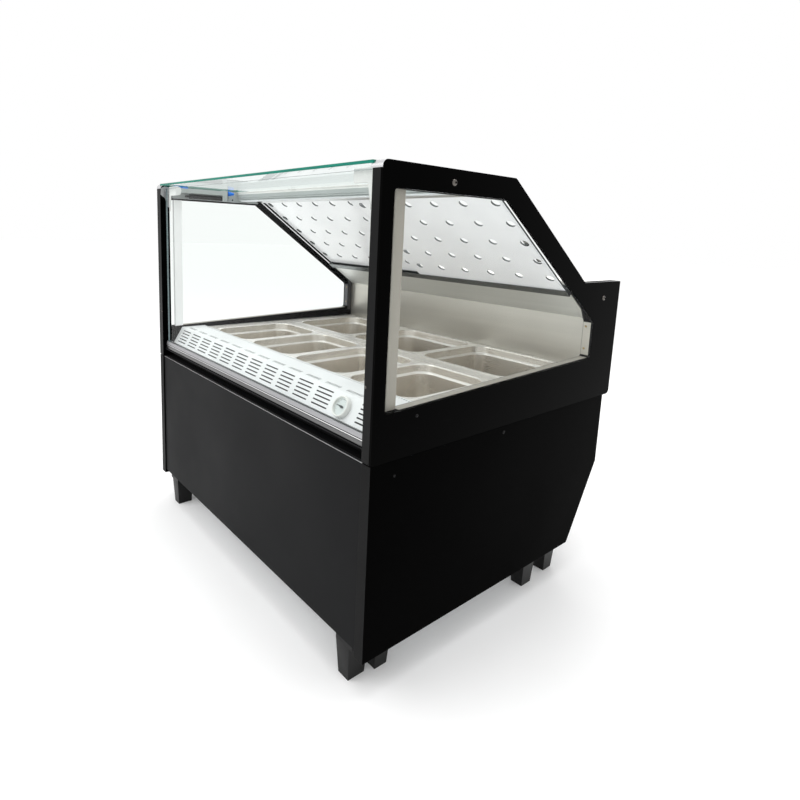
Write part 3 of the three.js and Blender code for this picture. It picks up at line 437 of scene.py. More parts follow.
def arc_points(points, steps=5):
    """An outline with its corners rounded: each point is (u, v) or (u, v, radius)."""
    made = []
    count = len(points)
    for i, point in enumerate(points):
        corner = Vector(point[:2])
        radius = point[2] if len(point) > 2 else 0
        if not radius:
            made.append(corner)
            continue
        before = (Vector(points[i - 1][:2]) - corner).normalized()
        after = (Vector(points[(i + 1) % count][:2]) - corner).normalized()
        half = math.acos(max(-1, min(1, before.dot(after)))) / 2
        cut = radius / math.tan(half)
        centre = corner + (before + after).normalized() * (radius / math.sin(half))
        start, end = corner + before * cut - centre, corner + after * cut - centre
        turn = math.atan2(start.x * end.y - start.y * end.x, start.dot(end))
        for k in range(steps + 1):
            angle = turn * k / steps
            c, s = math.cos(angle), math.sin(angle)
            made.append(centre + Vector((start.x * c - start.y * s, start.x * s + start.y * c)))
    return made


def prism(name, outline, reach, axes):
    """An outline drawn out along an axis: axes maps (u, v, w) to a point in the model."""
    bm = bmesh.new()
    ends = [[bm.verts.new(axes(u, v, w)) for u, v in outline] for w in reach]
    bm.faces.new(ends[0])
    bm.faces.new(list(reversed(ends[1])))
    for i in range(len(outline)):
        j = (i + 1) % len(outline)
        bm.faces.new((ends[0][i], ends[1][i], ends[1][j], ends[0][j]))
    return from_bmesh(name, bm)


def along_x(name, points, x, steps=5):
    """A profile of (distance from the front, height) in millimetres, drawn out along X."""
    return prism(name, arc_points(points, steps), x, lambda u, v, w: (w * MM, back(u), v * MM))


def along_y(name, points, y, steps=5):
    """A profile of (X, height), drawn out from front to back."""
    return prism(name, arc_points(points, steps), y, lambda u, v, w: (u * MM, back(w), v * MM))


def along_z(name, points, z, steps=5):
    """An outline of (X, distance from the front), drawn out upwards."""
    return prism(name, arc_points(points, steps), z, lambda u, v, w: (u * MM, back(v), w * MM))


def drawn_curve(name, curve):
    """The mesh that a curve draws; the curve itself is removed."""
    holder = show(name, curve)
    bpy.context.view_layer.update()
    mesh = bpy.data.meshes.new_from_object(holder)
    bpy.data.objects.remove(holder)
    bpy.data.curves.remove(curve)
    return mesh


def plate(name, outline, holes, thickness):
    """A flat sheet in millimetres with holes through it, lying in XY from z = 0 up."""
    curve = bpy.data.curves.new(name, "CURVE")
    curve.dimensions = "2D"
    curve.fill_mode = "BOTH"
    curve.extrude = thickness / 2
    for points in [outline, *holes]:
        spline = curve.splines.new("POLY")
        spline.points.add(len(points) - 1)
        for target, point in zip(spline.points, points):
            target.co = (point[0], point[1], 0, 1)
        spline.use_cyclic_u = True
    mesh = drawn_curve(name, curve)
    bm = bmesh.new()
    bm.from_mesh(mesh)
    bpy.data.meshes.remove(mesh)
    bmesh.ops.remove_doubles(bm, verts=bm.verts, dist=1e-4)
    bmesh.ops.translate(bm, verts=bm.verts, vec=(0, 0, thickness / 2))
    return bm


def circle(x, y, radius, sides=32):
    turn = 2 * math.pi / sides
    return [(x + radius * math.cos(i * turn), y + radius * math.sin(i * turn)) for i in range(sides)]


def capsule(x, y, length, height, sides=6):
    """A slot with round ends, lying along X about its middle."""
    radius = height / 2
    reach = length / 2 - radius
    points = []
    for side, start in ((1, -math.pi / 2), (-1, math.pi / 2)):
        for i in range(sides + 1):
            angle = start + math.pi * i / sides
            points.append((x + side * reach + radius * math.cos(angle), y + radius * math.sin(angle)))
    return points


def turned_slot(x, y, length, height):
    """The same slot, lying along Y."""
    return [(x + v, y + u) for u, v in capsule(0, 0, length, height)]


def rectangle(x, y):
    return [(x[0], y[0]), (x[1], y[0]), (x[1], y[1]), (x[0], y[1])]


def lathe(name, profile, frame_matrix, sides=48):
    """A profile of (radius, height) turned about the local Z axis of a matrix. Millimetres."""
    bm = bmesh.new()
    rings = []
    for radius, height in profile:
        if radius < 1e-6:
            rings.append([bm.verts.new((0, 0, height))])
            continue
        ring = [bm.verts.new((x, y, height)) for x, y in circle(0, 0, radius, sides)]
        rings.append(ring)
    for lower, upper in zip(rings, rings[1:]):
        for i in range(sides):
            j = (i + 1) % sides
            corners = []
            for vert in (
                lower[i % len(lower)],
                lower[j % len(lower)],
                upper[j % len(upper)],
                upper[i % len(upper)],
            ):
                if vert not in corners:
                    corners.append(vert)
            if len(corners) > 2:
                bm.faces.new(corners)
    bmesh.ops.transform(bm, matrix=frame_matrix, verts=bm.verts)
    return from_bmesh(name, bm)


def pointing(place, direction, up=(0, 0, 1)):
    """A matrix in metres for a piece drawn in millimetres, with its local Z along a direction."""
    z = Vector(direction).normalized()
    x = Vector(up).cross(z)
    if x.length < 1e-6:
        x = Vector((1, 0, 0))
    x.normalize()
    y = z.cross(x)
    turn = Matrix((x, y, z)).transposed().to_4x4()
    return Matrix.Translation(place) @ turn @ Matrix.Scale(MM, 4)


def tube(name, points, radius, sides=12):
    """A round tube in metres along a smooth line through its points."""
    curve = bpy.data.curves.new(name, "CURVE")
    curve.dimensions = "3D"
    curve.bevel_depth = radius
    curve.bevel_resolution = max(1, sides // 4)
    curve.use_fill_caps = True
    spline = curve.splines.new("NURBS")
    spline.points.add(len(points) - 1)
    for target, point in zip(spline.points, points):
        target.co = (*point, 1)
    spline.order_u = 3
    spline.use_endpoint_u = True
    spline.resolution_u = 6
    return show(name, drawn_curve(name, curve))


def join(name, objects):
    """Several loose meshes as one object."""
    bm = bmesh.new()
    for obj in objects:
        mesh = obj.data
        mesh.transform(obj.matrix_world)
        bm.from_mesh(mesh)
        bpy.data.objects.remove(obj)
        bpy.data.meshes.remove(mesh)
    return from_bmesh(name, bm)


def across(sign, near, far):
    """A span in X on one side of the cabinet, low end first."""
    return (near, far) if sign > 0 else (-far, -near)


def loft(name, rings):
    """A closed skin through rings of points in millimetres, with a flat face at each end."""
    bm = bmesh.new()
    made = [[bm.verts.new(Vector(point) * MM) for point in ring] for ring in rings]
    count = len(rings[0])
    for lower, upper in zip(made, made[1:]):
        for i in range(count):
            j = (i + 1) % count
            bm.faces.new((lower[i], lower[j], upper[j], upper[i]))
    bm.faces.new(made[0])
    bm.faces.new(list(reversed(made[-1])))
    return from_bmesh(name, bm)


def rounded_ring(half_x, half_y, radius, z, steps=8):
    """A rectangle with round corners, centred on the origin at a height."""
    ring = []
    for corner, (sx, sy) in enumerate(((1, 1), (-1, 1), (-1, -1), (1, -1))):
        for i in range(steps + 1):
            angle = (corner + i / steps) * math.pi / 2
            x = sx * (half_x - radius) + radius * math.cos(angle)
            y = sy * (half_y - radius) + radius * math.sin(angle)
            ring.append((x, y, z))
    return ring


def span(name, axis):
    """A node's extent along an axis in millimetres; along Y it is measured back from the front."""
    low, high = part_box(name)
    start = FRONT if axis == 1 else 0
    return (low[axis] - start) / MM, (high[axis] - start) / MM


def spot(x, distance, height):
    """A place in metres from millimetres: X, distance back from the front, height."""
    return Vector((x * MM, back(distance), height * MM))


def middle(name):
    """The middle of a node's box, in metres."""
    low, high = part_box(name)
    return (low + high) / 2


def cuboid(name, x, y, z):
    """A box in millimetres, its Y measured back from the front. It gets its edges from a bevel."""
    return along_z(name, rectangle(x, y), z)


def upright(bm, x):
    """Turns a flat sheet drawn in (distance from the front, height) to stand across X, from x up."""
    turn = Matrix(((0, 0, MM, x * MM), (MM, 0, 0, FRONT), (0, MM, 0, 0), (0, 0, 0, 1)))
    bmesh.ops.transform(bm, matrix=turn, verts=bm.verts)
    return bm


def bolt(name, place, direction, radius, look="chrome", rise=0.55):
    """A domed screw head with a hexagonal socket. The place is in millimetres: x, back, z."""
    high = radius * rise
    dome = [(radius * math.cos(a), high * math.sin(a)) for a in (0, 0.3, 0.6, 0.9, 1.15)]
    socket = radius * 0.36
    profile = [(radius, -0.3), *dome, (socket, high * 0.97), (socket * 0.95, high * 0.3), (0, high * 0.25)]
    obj = lathe(name, profile, pointing(spot(*place), direction), 24)
    fixed(obj, look)


# ---- Ends, body and feet -------------------------------------------------------------------------

# The rear slope's outer line, as (distance from the front, height), and its directions.
SLOPE_TOP = Vector((414.6, 1160))
SLOPE_FOOT = Vector((774, 905))
RUN = (SLOPE_FOOT - SLOPE_TOP).normalized()
INWARD = Vector((RUN.y, -RUN.x))

# The window in the gloss pane, and the larger opening in the frame behind it, with corner radii.
WINDOW = ((32, 656, 10), (841, 681, 12), (841, 788, 14), (384, 1109, 6), (32, 1109, 10))
REVEAL = ((32, 656, 10), (841, 681, 12), (841, 812, 14), (419, 1109, 6), (32, 1109, 10))
BAR_X = (572, 584)
BAR_SPAN = (48, 77)
CHEEK_REAR = 860
CHEEK_TOP = 862
PANE = 6
END_CORNER = 14
CAP_LAP = 0.4


def end_outline():
    """The upper end's outline: distances back from the front and heights, with corner radii."""
    low, high = span("side_glass_right", 2)
    rear = span("side_glass_right", 1)[1]
    counter = span("rear_counter", 2)[1]
    outline = (
        (0, low, 5),
        (rear, low, 14),
        (rear, counter, 4),
        (SLOPE_FOOT.x, counter, 6),
        (SLOPE_TOP.x, high, 14),
        (0, high, END_CORNER),
    )
    return arc_points(outline, 8)


def two_looks(obj, chosen):
    """Gives faces the second material where chosen(normal) says so."""
    for face in obj.data.polygons:
        face.material_index = 1 if chosen(face.normal) else 0


def make_end_frame(side, sign, inner, outer):
    """The black frame behind the pane. Its faces at the front and on top take the post's coat."""
    sheet = plate("frame", end_outline(), [arc_points(REVEAL, 8)], outer - inner)
    end_frame = from_bmesh(f"end_frame_fine_{side}", upright(sheet, inner if sign > 0 else -outer))
    looks = ["inner_black", "post"]
    fixed(end_frame, looks, 0.0012, 3, [f"end_frame_{side}"])
    skin = 9
    for face in end_frame.data.polygons:
        outside = face.center.y < back(skin) or face.center.z > TOP - skin * MM
        face.material_index = 1 if outside and abs(face.normal.x) < 0.7 else 0


def make_window_lining(side, sign, inner, outer):
    """Steel round the opening: a flange at its rear, a cheek behind that, and a strip on the sill. The cheeks
    and the left flange are steel darkened as a painted dark reflection.
    """
    start, foot = WINDOW[0][:2]
    rear, corner = WINDOW[1][:2]
    crest = WINDOW[2][1]
    x = across(sign, inner + 0.5, outer)
    flange = cuboid(f"window_flange_{side}", x, (rear - 1.2, rear - 0.1), (corner + 1, crest - 3))
    # The left flange takes the cheek's painted dark reflection, the right one the wall's steel.
    fixed(flange, "wall" if sign > 0 else "cheek", 0.0003)
    x = across(sign, inner - 1.2, inner - 0.1)
    cheek = cuboid(f"cheek_{side}", x, (rear + 0.4, CHEEK_REAR), (corner - 12, CHEEK_TOP))
    fixed(cheek, "cheek", 0.0003)
    section = rectangle((sign * (inner + 4), sign * outer), (0, 1))
    sill = along_y(f"window_sill_{side}", section, (BAR_SPAN[1], rear - 1.4))
    lift = (corner - foot) / (rear - start)
    for vert in sill.data.vertices:
        distance = (vert.co.y - FRONT) / MM
        vert.co.z += (foot + 0.3 + lift * (distance - start)) * MM
    fixed(sill, "strip", 0.0003)


def make_end_pane(side, sign):
    """A full-size pane: its black border, its clear window, and the bar seen through the window. The left bar
    is pale and glowing: painted light.
    """
    start = HALF / MM - PANE if sign > 0 else -HALF / MM
    window = arc_points(WINDOW, 8)
    sheet = plate("border", end_outline(), [window], PANE)
    border = from_bmesh(f"end_border_{side}", upright(sheet, start))
    fixed(border, "black_gloss", 0.0006, 3, [f"side_glass_{side}"])
    thin = plate("window", window, [], PANE - 0.4)
    glass = from_bmesh(f"end_window_{side}", upright(thin, start + 0.2))
    fixed(glass, "glass")
    low, high = WINDOW[0][1], WINDOW[-1][1]
    # The left bar takes the pale glowing copy: painted light.
    bar = cuboid(f"window_bar_{side}", across(sign, *BAR_X), BAR_SPAN, (low - 4, high + 4))
    fixed(bar, "strip" if sign > 0 else "bar_pale", 0.0012, 3)


def make_corner_trim(side, sign, inner):
    """The silver cap over the top front corner, which is partly a painted highlight on the post's rounded
    corner, and the bracket on the frame's inner face.
    """
    crest = TOP / MM
    spring = crest - END_CORNER
    reach = END_CORNER + CAP_LAP
    outline = [(-CAP_LAP, spring - 2), (-CAP_LAP, spring)]
    for step in range(1, 8):
        angle = step * math.pi / 16
        outline.append((END_CORNER - reach * math.cos(angle), spring + reach * math.sin(angle)))
    outline += rectangle((END_CORNER, 22), (crest + CAP_LAP, crest - 0.6))
    outline += [(1.5, spring + 4), (0.6, spring - 2)]
    # The cap is partly a painted highlight on the post's rounded corner.
    cap = along_x(f"corner_cap_and_painted_highlight_{side}", outline, across(sign, 564, 599.4))
    fixed(cap, "cap_silver", 0.0003)
    outline = (
        (1, 1124, 2), (3, 1146, 4), (15, 1152, 3), (34, 1150, 3), (34, 1082, 2), (26, 1082, 4),
        (17, 1112, 6),
    )
    sheet = plate("bracket", arc_points(outline, 5), [], 1.2)
    bracket = from_bmesh(f"corner_bracket_{side}", upright(sheet, inner - 1.3 if sign > 0 else 0.1 - inner))
    fixed(bracket, "rail_alu", 0.0003)


def make_ends():
    for side, sign in SIDES:
        panel = refine(f"side_panel_{side}", ["charcoal_dark", "black"], 0.0012, 3)
        two_looks(panel, lambda normal: abs(normal.x) > 0.5)
        inner, outer = sorted(abs(x) for x in span(f"end_frame_{side}", 0))
        make_end_frame(side, sign, inner, outer)
        make_window_lining(side, sign, inner, outer)
        make_end_pane(side, sign)
        make_corner_trim(side, sign, inner)


# Each is a name, a distance back from the front, a height, a radius, a look and how domed it is.
END_BOLTS = (
    ("dome_bolt_upper", 200, 1132, 7.5, "chrome", 0.55),
    ("dome_bolt_rear", 887, 857, 7.5, "chrome", 0.55),
    ("cover_cap", 126, 638, 4, "black_plastic", 0.3),
    ("seam_screw", 444, 534, 4.5, "black_plastic", 0.35),
    ("panel_screw", 68, 516, 3.2, "black_plastic", 0.3),
)


def make_fasteners():
    """Screw heads on the ends' outer faces, on the posts and on the steel behind the windows."""
    for side, sign in SIDES:
        for name, distance, height, radius, look, rise in END_BOLTS:
            place = (sign * HALF / MM, distance, height)
            bolt(f"{name}_{side}", place, (sign, 0, 0), radius, look, rise)
        bolt(f"post_screw_{side}", (sign * 574, 0.5, 714), (0, -1, 0), 3.2)
        for number, height in enumerate((772, 706), 1):
            place = (sign * 579, WINDOW[1][0] - 1.2, height)
            bolt(f"wall_screw_{side}_{number}", place, (0, -1, 0), 3.4, "brass")


def make_body():
    refine("base_frame", "galvanised", 0.0006)
    refine("front_panel", "charcoal", 0.0009, 3)
    refine("rear_counter", "stainless", 0.0012, 3)
    refine("rear_panel", "black", 0.0006)
    refine("insulation", "foam", 0.001)
    refine("front_sill", "black_plastic", 0.0008)
    top = span("front_panel", 2)[1]
    front = span("front_panel", 1)[0]
    width = span("front_panel", 0)
    lip = rectangle((front - 0.4, front + 3), (top + 0.1, top + 1))
    edge = along_x("panel_edge", lip, width)
    fixed(edge, "cap_silver", 0.0002)
    front, rear = span("front_sill", 1)
    low = span("front_sill", 2)[0]
    for number, height in enumerate((low + 9, low + 17)):
        section = rectangle((rear - 4, rear - 2.4), (height, height + 1.6))
        rib = along_x(f"sill_rib_{number}", section, width)
        fixed(rib, "black_plastic", 0.0003)


def make_feet():
    for end in ("front", "rear"):
        for side, _ in SIDES:
            refine(f"foot_{end}_{side}", "foot", 0.0022, 3)


# ---- Glass and its fittings ----------------------------------------------------------------------

RAIL_FACE = (
    (35, 579.2, 1), (35, 592, 1.5), (25.5, 605.8, 1), (22.4, 605.8), (22.4, 589.8), (15.6, 589.8),
    (15.6, 605.8), (13, 605.8, 1), (11.4, 595.6, 0.6), (12.4, 594.6), (10.8, 593.6, 0.3),
    (10.6, 591.8, 0.3), (12.2, 590.8), (10.8, 589.6, 0.6), (10.5, 580.6, 1), (11.8, 579.2, 0.8),
)


def pane(name, bevel=0.0008, edge="edge", broad="glass"):
    """A glass pane whose broad faces are clear and whose cut edges gather colour."""
    obj = refine(name, [broad, edge], bevel)
    low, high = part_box(name)
    size = high - low
    thin = min(range(3), key=lambda axis: size[axis])
    two_looks(obj, lambda normal: abs(normal[thin]) < 0.5)
    return obj


def make_glass():
    """The top glass, and the front glass in its aluminium bottom rail, whose faces carry painted reflection,
    highlight and shade.
    """
    pane("top_glass", broad="top_clear")
    pane("front_glass", edge="pale_edge")
    x = span("glass_rail", 0)
    rail = along_x("glass_rail_fine", RAIL_FACE, x, 4)
    looks = ["rail_alu", "rail_shade", "rail_painted_highlight", "white"]
    place_piece(rail, GLASS_UNIT, looks, 0, 2, ["glass_rail"])
    # Rear faces above 592 take white as a painted reflection of the grille; the band at 592 to 593.5 takes a
    # painted highlight line; the rest below 595.4 takes painted shade.
    for face in rail.data.polygons:
        height = face.center.z / MM
        if face.normal.y > 0.4 and height > 592:
            face.material_index = 3
        elif 591.9 < height < 593.5:
            face.material_index = 2
        elif height < 595.4:
            face.material_index = 1
    for side, sign in SIDES:
        profile = [(u, v, 0.5) for u, v, _ in RAIL_FACE[:3]]
        profile += [(13, 605.6), (10.7, 594), (10.7, 579.4)]
        cap = along_x(f"rail_end_{side}", profile, across(sign, x[1] - 0.2, x[1] + 1.2), 2)
        place_piece(cap, GLASS_UNIT, "black_plastic", 0.0003)


def make_hinge(side, sign):
    """A clamp on the glass, its leaf down the post, and the pin it turns on."""
    inner, outer = sorted(abs(x) for x in span(f"hinge_clamp_{side}", 0))
    face, rear = span(f"hinge_clamp_{side}", 1)
    crest = span(f"hinge_clamp_{side}", 2)[1]
    profile = (
        (face, crest - 31, 2), (face, crest - 1, 3), (face + 7, crest, 5),
        (rear - 3, crest - 3, 6), (rear, crest - 14, 6), (rear - 4, crest - 28, 4),
        (face + 4, crest - 31, 3),
    )
    clamp = along_x(f"hinge_clamp_fine_{side}", profile, across(sign, inner, outer), 5)
    place_piece(clamp, GLASS_UNIT, "hinge_white", 0.0012, 3, [f"hinge_clamp_{side}"])
    tail = (
        (sign * (outer - 16), crest - 28, 2),
        (sign * outer, crest - 28, 2),
        (sign * outer, crest - 84, 3),
        (sign * (outer - 5), crest - 84, 3),
        (sign * (outer - 12), crest - 44, 8),
    )
    leaf = along_y(f"hinge_leaf_{side}", arc_points(tail, 5), (face + 0.2, face + 2.6))
    place_piece(leaf, GLASS_UNIT, "hinge_white", 0.0004)
    refine(f"hinge_pin_{side}", "aluminium", 0.0006, 3)


def make_strut(side):
    """A lift strut: its housing, the blue-tipped plunger, the gasket, the clip and the gas spring."""
    housing = f"strut_housing_{side}"
    refine(housing, "pale", 0.0014, 3)
    axis = middle(f"strut_plunger_{side}")
    start, tip = span(f"strut_plunger_{side}", 1)
    root = tip - 25
    cone = [
        (0, start), (4.6, start), (5, start + 0.6), (5, root - 1), (8.4, root), (8.4, root + 4),
        (7.8, root + 6), (4.6, tip - 1.4), (3.4, tip), (0, tip),
    ]
    drawn = pointing((axis.x, FRONT, axis.z), (0, 1, 0))
    plunger = lathe(f"strut_cone_{side}", cone, drawn, 32)
    place_piece(plunger, f"strut_plunger_{side}", "blue", 0, 2, [f"strut_plunger_{side}"])
    wide = span(housing, 0)
    front, rear = span(housing, 1)
    low, high = span(housing, 2)
    hole = circle(axis.x / MM, axis.z / MM, 5.8, 24)
    gasket = plate("strut_gasket", rectangle(wide, (low + 0.8, high - 0.4)), [hole], 1.6)
    turn = Matrix(((MM, 0, 0, 0), (0, 0, -MM, back(rear + 1.7)), (0, MM, 0, 0), (0, 0, 0, 1)))
    bmesh.ops.transform(gasket, matrix=turn, verts=gasket.verts)
    fixed(from_bmesh(f"strut_gasket_{side}", gasket), "rubber", 0.0003)
    clip = cuboid(f"strut_clip_{side}", wide, (front - 6, front + 34), (high - 3.4, high + 0.6))
    fixed(clip, "blue", 0.0006)
    start, end = span(f"gas_spring_{side}", 1)
    spring = [
        (0, start), (3.4, start), (3.6, start + 14), (7.4, start + 14), (8, start + 15),
        (8, end - 6), (7.2, end - 5), (7.2, end - 3), (8, end - 2), (8, end - 0.6), (0, end),
    ]
    drawn = pointing((axis.x, FRONT, middle(f"gas_spring_{side}").z), (0, 1, 0))
    barrel = lathe(f"gas_spring_fine_{side}", spring, drawn, 32)
    fixed(barrel, "enamel", 0, 2, [f"gas_spring_{side}"])


def make_beam():
    """The light beam across the cabinet, its lamp, and the plates at its ends. The beam's top band is a
    painted highlight.
    """
    front, rear = span("light_beam", 1)
    low, high = span("light_beam", 2)
    profile = (
        (front, high), (front, high - 2, 0.6), (front + 6.5, high - 2.4, 2),
        (front + 5.6, high - 9, 1), (front + 6, low + 11), (front + 7.6, low + 10.4),
        (front + 7.6, low + 9.4), (front + 6.2, low + 8.8), (front + 6.4, low + 5),
        (front + 8, low + 4.4), (front + 8, low + 3.4), (front + 6.8, low + 2.8, 0.6),
        (front + 8, low, 1), (rear - 2, low, 2), (rear, high),
    )
    beam = along_x("light_beam_fine", profile, span("light_beam", 0), 4)
    fixed(beam, ["pale", "bezel"], 0, 2, ["light_beam"])
    # Faces in the top 8 mm take the bright white as a painted highlight.
    for face in beam.data.polygons:
        face.material_index = 1 if face.center.z / MM > high - 8 else 0
    front, rear = span("lamp_tube", 1)
    low, high = span("lamp_tube", 2)
    profile = (
        (front, high),
        (front, low + 1, 2),
        (front + 4, low, 3),
        (rear - 4, low, 3),
        (rear, low + 1, 2),
        (rear, high),
    )
    lamp = along_x("lamp_fine", profile, span("lamp_tube", 0), 5)
    fixed(lamp, "lamp", 0, 2, ["lamp_tube"])
    inner = span("light_beam", 0)[1]
    thick = 1.4
    outline = arc_points(((42, 1113.5, 2), (384, 1113.5, 3), (352, 1152.4, 3), (42, 1152.4, 2)))
    for side, sign in SIDES:
        sheet = plate("head", outline, [], thick)
        head = from_bmesh(f"head_plate_{side}", upright(sheet, inner - thick if sign > 0 else -inner))
        fixed(head, "pale", 0.0003)
        face = sign * (inner - thick)
        for number, height in enumerate((1122, 1142), 1):
            place = (face, 272, height)
            bolt(f"head_screw_{side}_{number}", place, (-sign, 0, 0), 3, "black_plastic", rise=0.3)


# ---- The well: pans, deck, divider, wall ---------------------------------------------------------

RIM_TO_FLOOR = (
    (60, -149, 14), (34, -148.8, 28), (28.5, -146.5, 32), (25, -140, 35), (23.6, -130, 37),
    (17.4, -30, 43), (17, -27.6, 43.5), (16, -25.8, 44), (14.2, -24.6, 45), (13.5, -22.6, 45.5),
    (13.2, -5, 46), (12.6, -2.4, 46), (11.4, -0.8, 45), (9.4, 0, 43), (1.8, 0, 9), (0.6, -0.5, 8),
    (0.1, -1.4, 8), (0.1, -2.2, 8),
)
SHEET = 0.9


def make_pans():
    """Seven drawn steel pans: each is a stack of rounded rings, down the inside and up the outside. Their
    walls carry painted shade and their rim and bead bands a painted highlight.
    """
    for number in range(1, 8):
        name = f"pan_{number}"
        low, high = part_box(name)
        half = (high - low) / 2 / MM
        centre = (high + low) / 2 / MM
        top = high.z / MM
        inside = [rounded_ring(half.x - inset, half.y - inset, r, top + z) for inset, z, r in RIM_TO_FLOOR]
        outside = []
        for inset, z, r in reversed(RIM_TO_FLOOR):
            wall = SHEET if inset > 12 else -SHEET
            under = min(z - SHEET, -SHEET) if inset < 12 or inset > 26 else z - SHEET / 2
            if inset < 1:
                under = z
            ring = rounded_ring(half.x - inset + wall, half.y - inset + wall, r, max(top + under, low.z / MM))
            outside.append(ring)
        rings = [[(x + centre.x, y + centre.y, z) for x, y, z in ring] for ring in inside + outside]
        pan = loft(f"{name}_fine", rings)
        place_piece(pan, name, ["pan", "pan_wall_painted_shade", "pan_rim_painted_highlight"], 0, 2, [name])
        # Bands near the rim get the painted highlight; steep walls get the painted shade.
        for face in pan.data.polygons:
            depth = top - face.center.z / MM
            if depth < 3 or 22 < depth < 30:
                face.material_index = 2
            elif abs(face.normal.z) < 0.35:
                face.material_index = 1


def make_well():
    """The liner, the bar between the rows, the wall behind, and the strips beside the pans, with a black
    strip of painted shade in the gap beside them.
    """
    refine("well_liner", "stainless", 0.0008)
    refine("row_divider", "rim_steel", 0.0009, 3)
    refine("drain_pipe", "pale", 0.0006)
    # The wall's downward faces take the lighter copy of its steel: painted light.
    two_looks(refine("back_wall", ["wall", "apron"], 0.0006), lambda normal: normal.z < -0.25)
    deck = span("well_liner", 2)[1]
    rims = span("pan_1", 2)[1]
    y = (span("pan_1", 1)[0] - 0.5, span("back_wall", 1)[1] - 2)
    inner = span("well_liner", 0)[1]
    edge = -span("pan_1", 0)[0]
    for side, sign in SIDES:
        near, far = sign * (edge + 5), sign * inner
        low, high = deck + 0.2, rims + 1.2
        strip = along_y(f"deck_strip_{side}", [(near, low), (near, high), (far, high), (far, low)], y)
        fixed(strip, "rim_steel", 0.0009, 3)
        # A black strip in the gap beside the pans: painted shade.
        seal = cuboid(f"deck_gap_painted_shade_{side}", across(sign, edge + 0.6, edge + 4.8), y, (deck + 0.1, deck + 1))
        fixed(seal, "rubber", 0.0002)


# ---- Air grille and thermometer ------------------------------------------------------------------

GRILLE_FOOT = Vector((38, 594))
GRILLE_RIDGE = Vector((72, 651.5))
FACE_UP = (GRILLE_RIDGE - GRILLE_FOOT).normalized()
COLUMNS = 13
COLUMN_PITCH = 85.8
FIRST_COLUMN = -510
SLOT_LENGTH = 64
SLOT_HEIGHT = 3.4


def bent_sheet(name, path, holes, half, thickness):
    """A punched sheet bent round a line of (distance from the front, height) points.

    The holes are outlines of (x, length along the line). The line is the sheet's outer face.
    """
    lengths = [0.0]
    for start, end in zip(path, path[1:]):
        lengths.append(lengths[-1] + (end - start).length)
    bm = plate(name, rectangle((-half, half), (0, lengths[-1])), holes, thickness)
    bm.normal_update()
    # Hole walls take the second material: painted shade in the slots.
    for face in bm.faces:
        spot = face.calc_center_median()
        on_border = abs(abs(spot.x) - half) < 0.01 or not 0.01 < spot.y < lengths[-1] - 0.01
        face.material_index = 1 if abs(face.normal.z) < 0.5 and not on_border else 0
    for length in lengths[1:-1]:
        geometry = bm.verts[:] + bm.edges[:] + bm.faces[:]
        bmesh.ops.bisect_plane(bm, geom=geometry, plane_co=(0, length, 0), plane_no=(0, 1, 0), dist=1e-5)
    normals = []
    for start, end in zip(path, path[1:]):
        run = (end - start).normalized()
        normals.append(Vector((-run.y, run.x)))
    mitres = [normals[0]]
    for one, two in zip(normals, normals[1:]):
        both = (one + two).normalized()
        mitres.append(both / max(0.2, both.dot(one)))
    mitres.append(normals[-1])
    for vert in bm.verts:
        length = min(max(vert.co.y, 0), lengths[-1])
        i = max(k for k in range(len(normals)) if lengths[k] <= length + 1e-4)
        t = (length - lengths[i]) / (lengths[i + 1] - lengths[i])
        outer = path[i].lerp(path[i + 1], t)
        lean = mitres[i].lerp(mitres[i + 1], t)
        spot = outer + lean * (vert.co.z - thickness)
        vert.co = (vert.co.x * MM, back(spot.x), spot.y * MM)
    return from_bmesh(name, bm)


def nearest_length(path, point):
    """How far along a line of points its nearest place to a point is."""
    best = (math.inf, 0)
    done = 0
    for start, end in zip(path, path[1:]):
        run = end - start
        t = min(1, max(0, (point - start).dot(run) / run.length_squared))
        best = min(best, ((start + run * t - point).length, done + run.length * t))
        done += run.length
    return best[1]


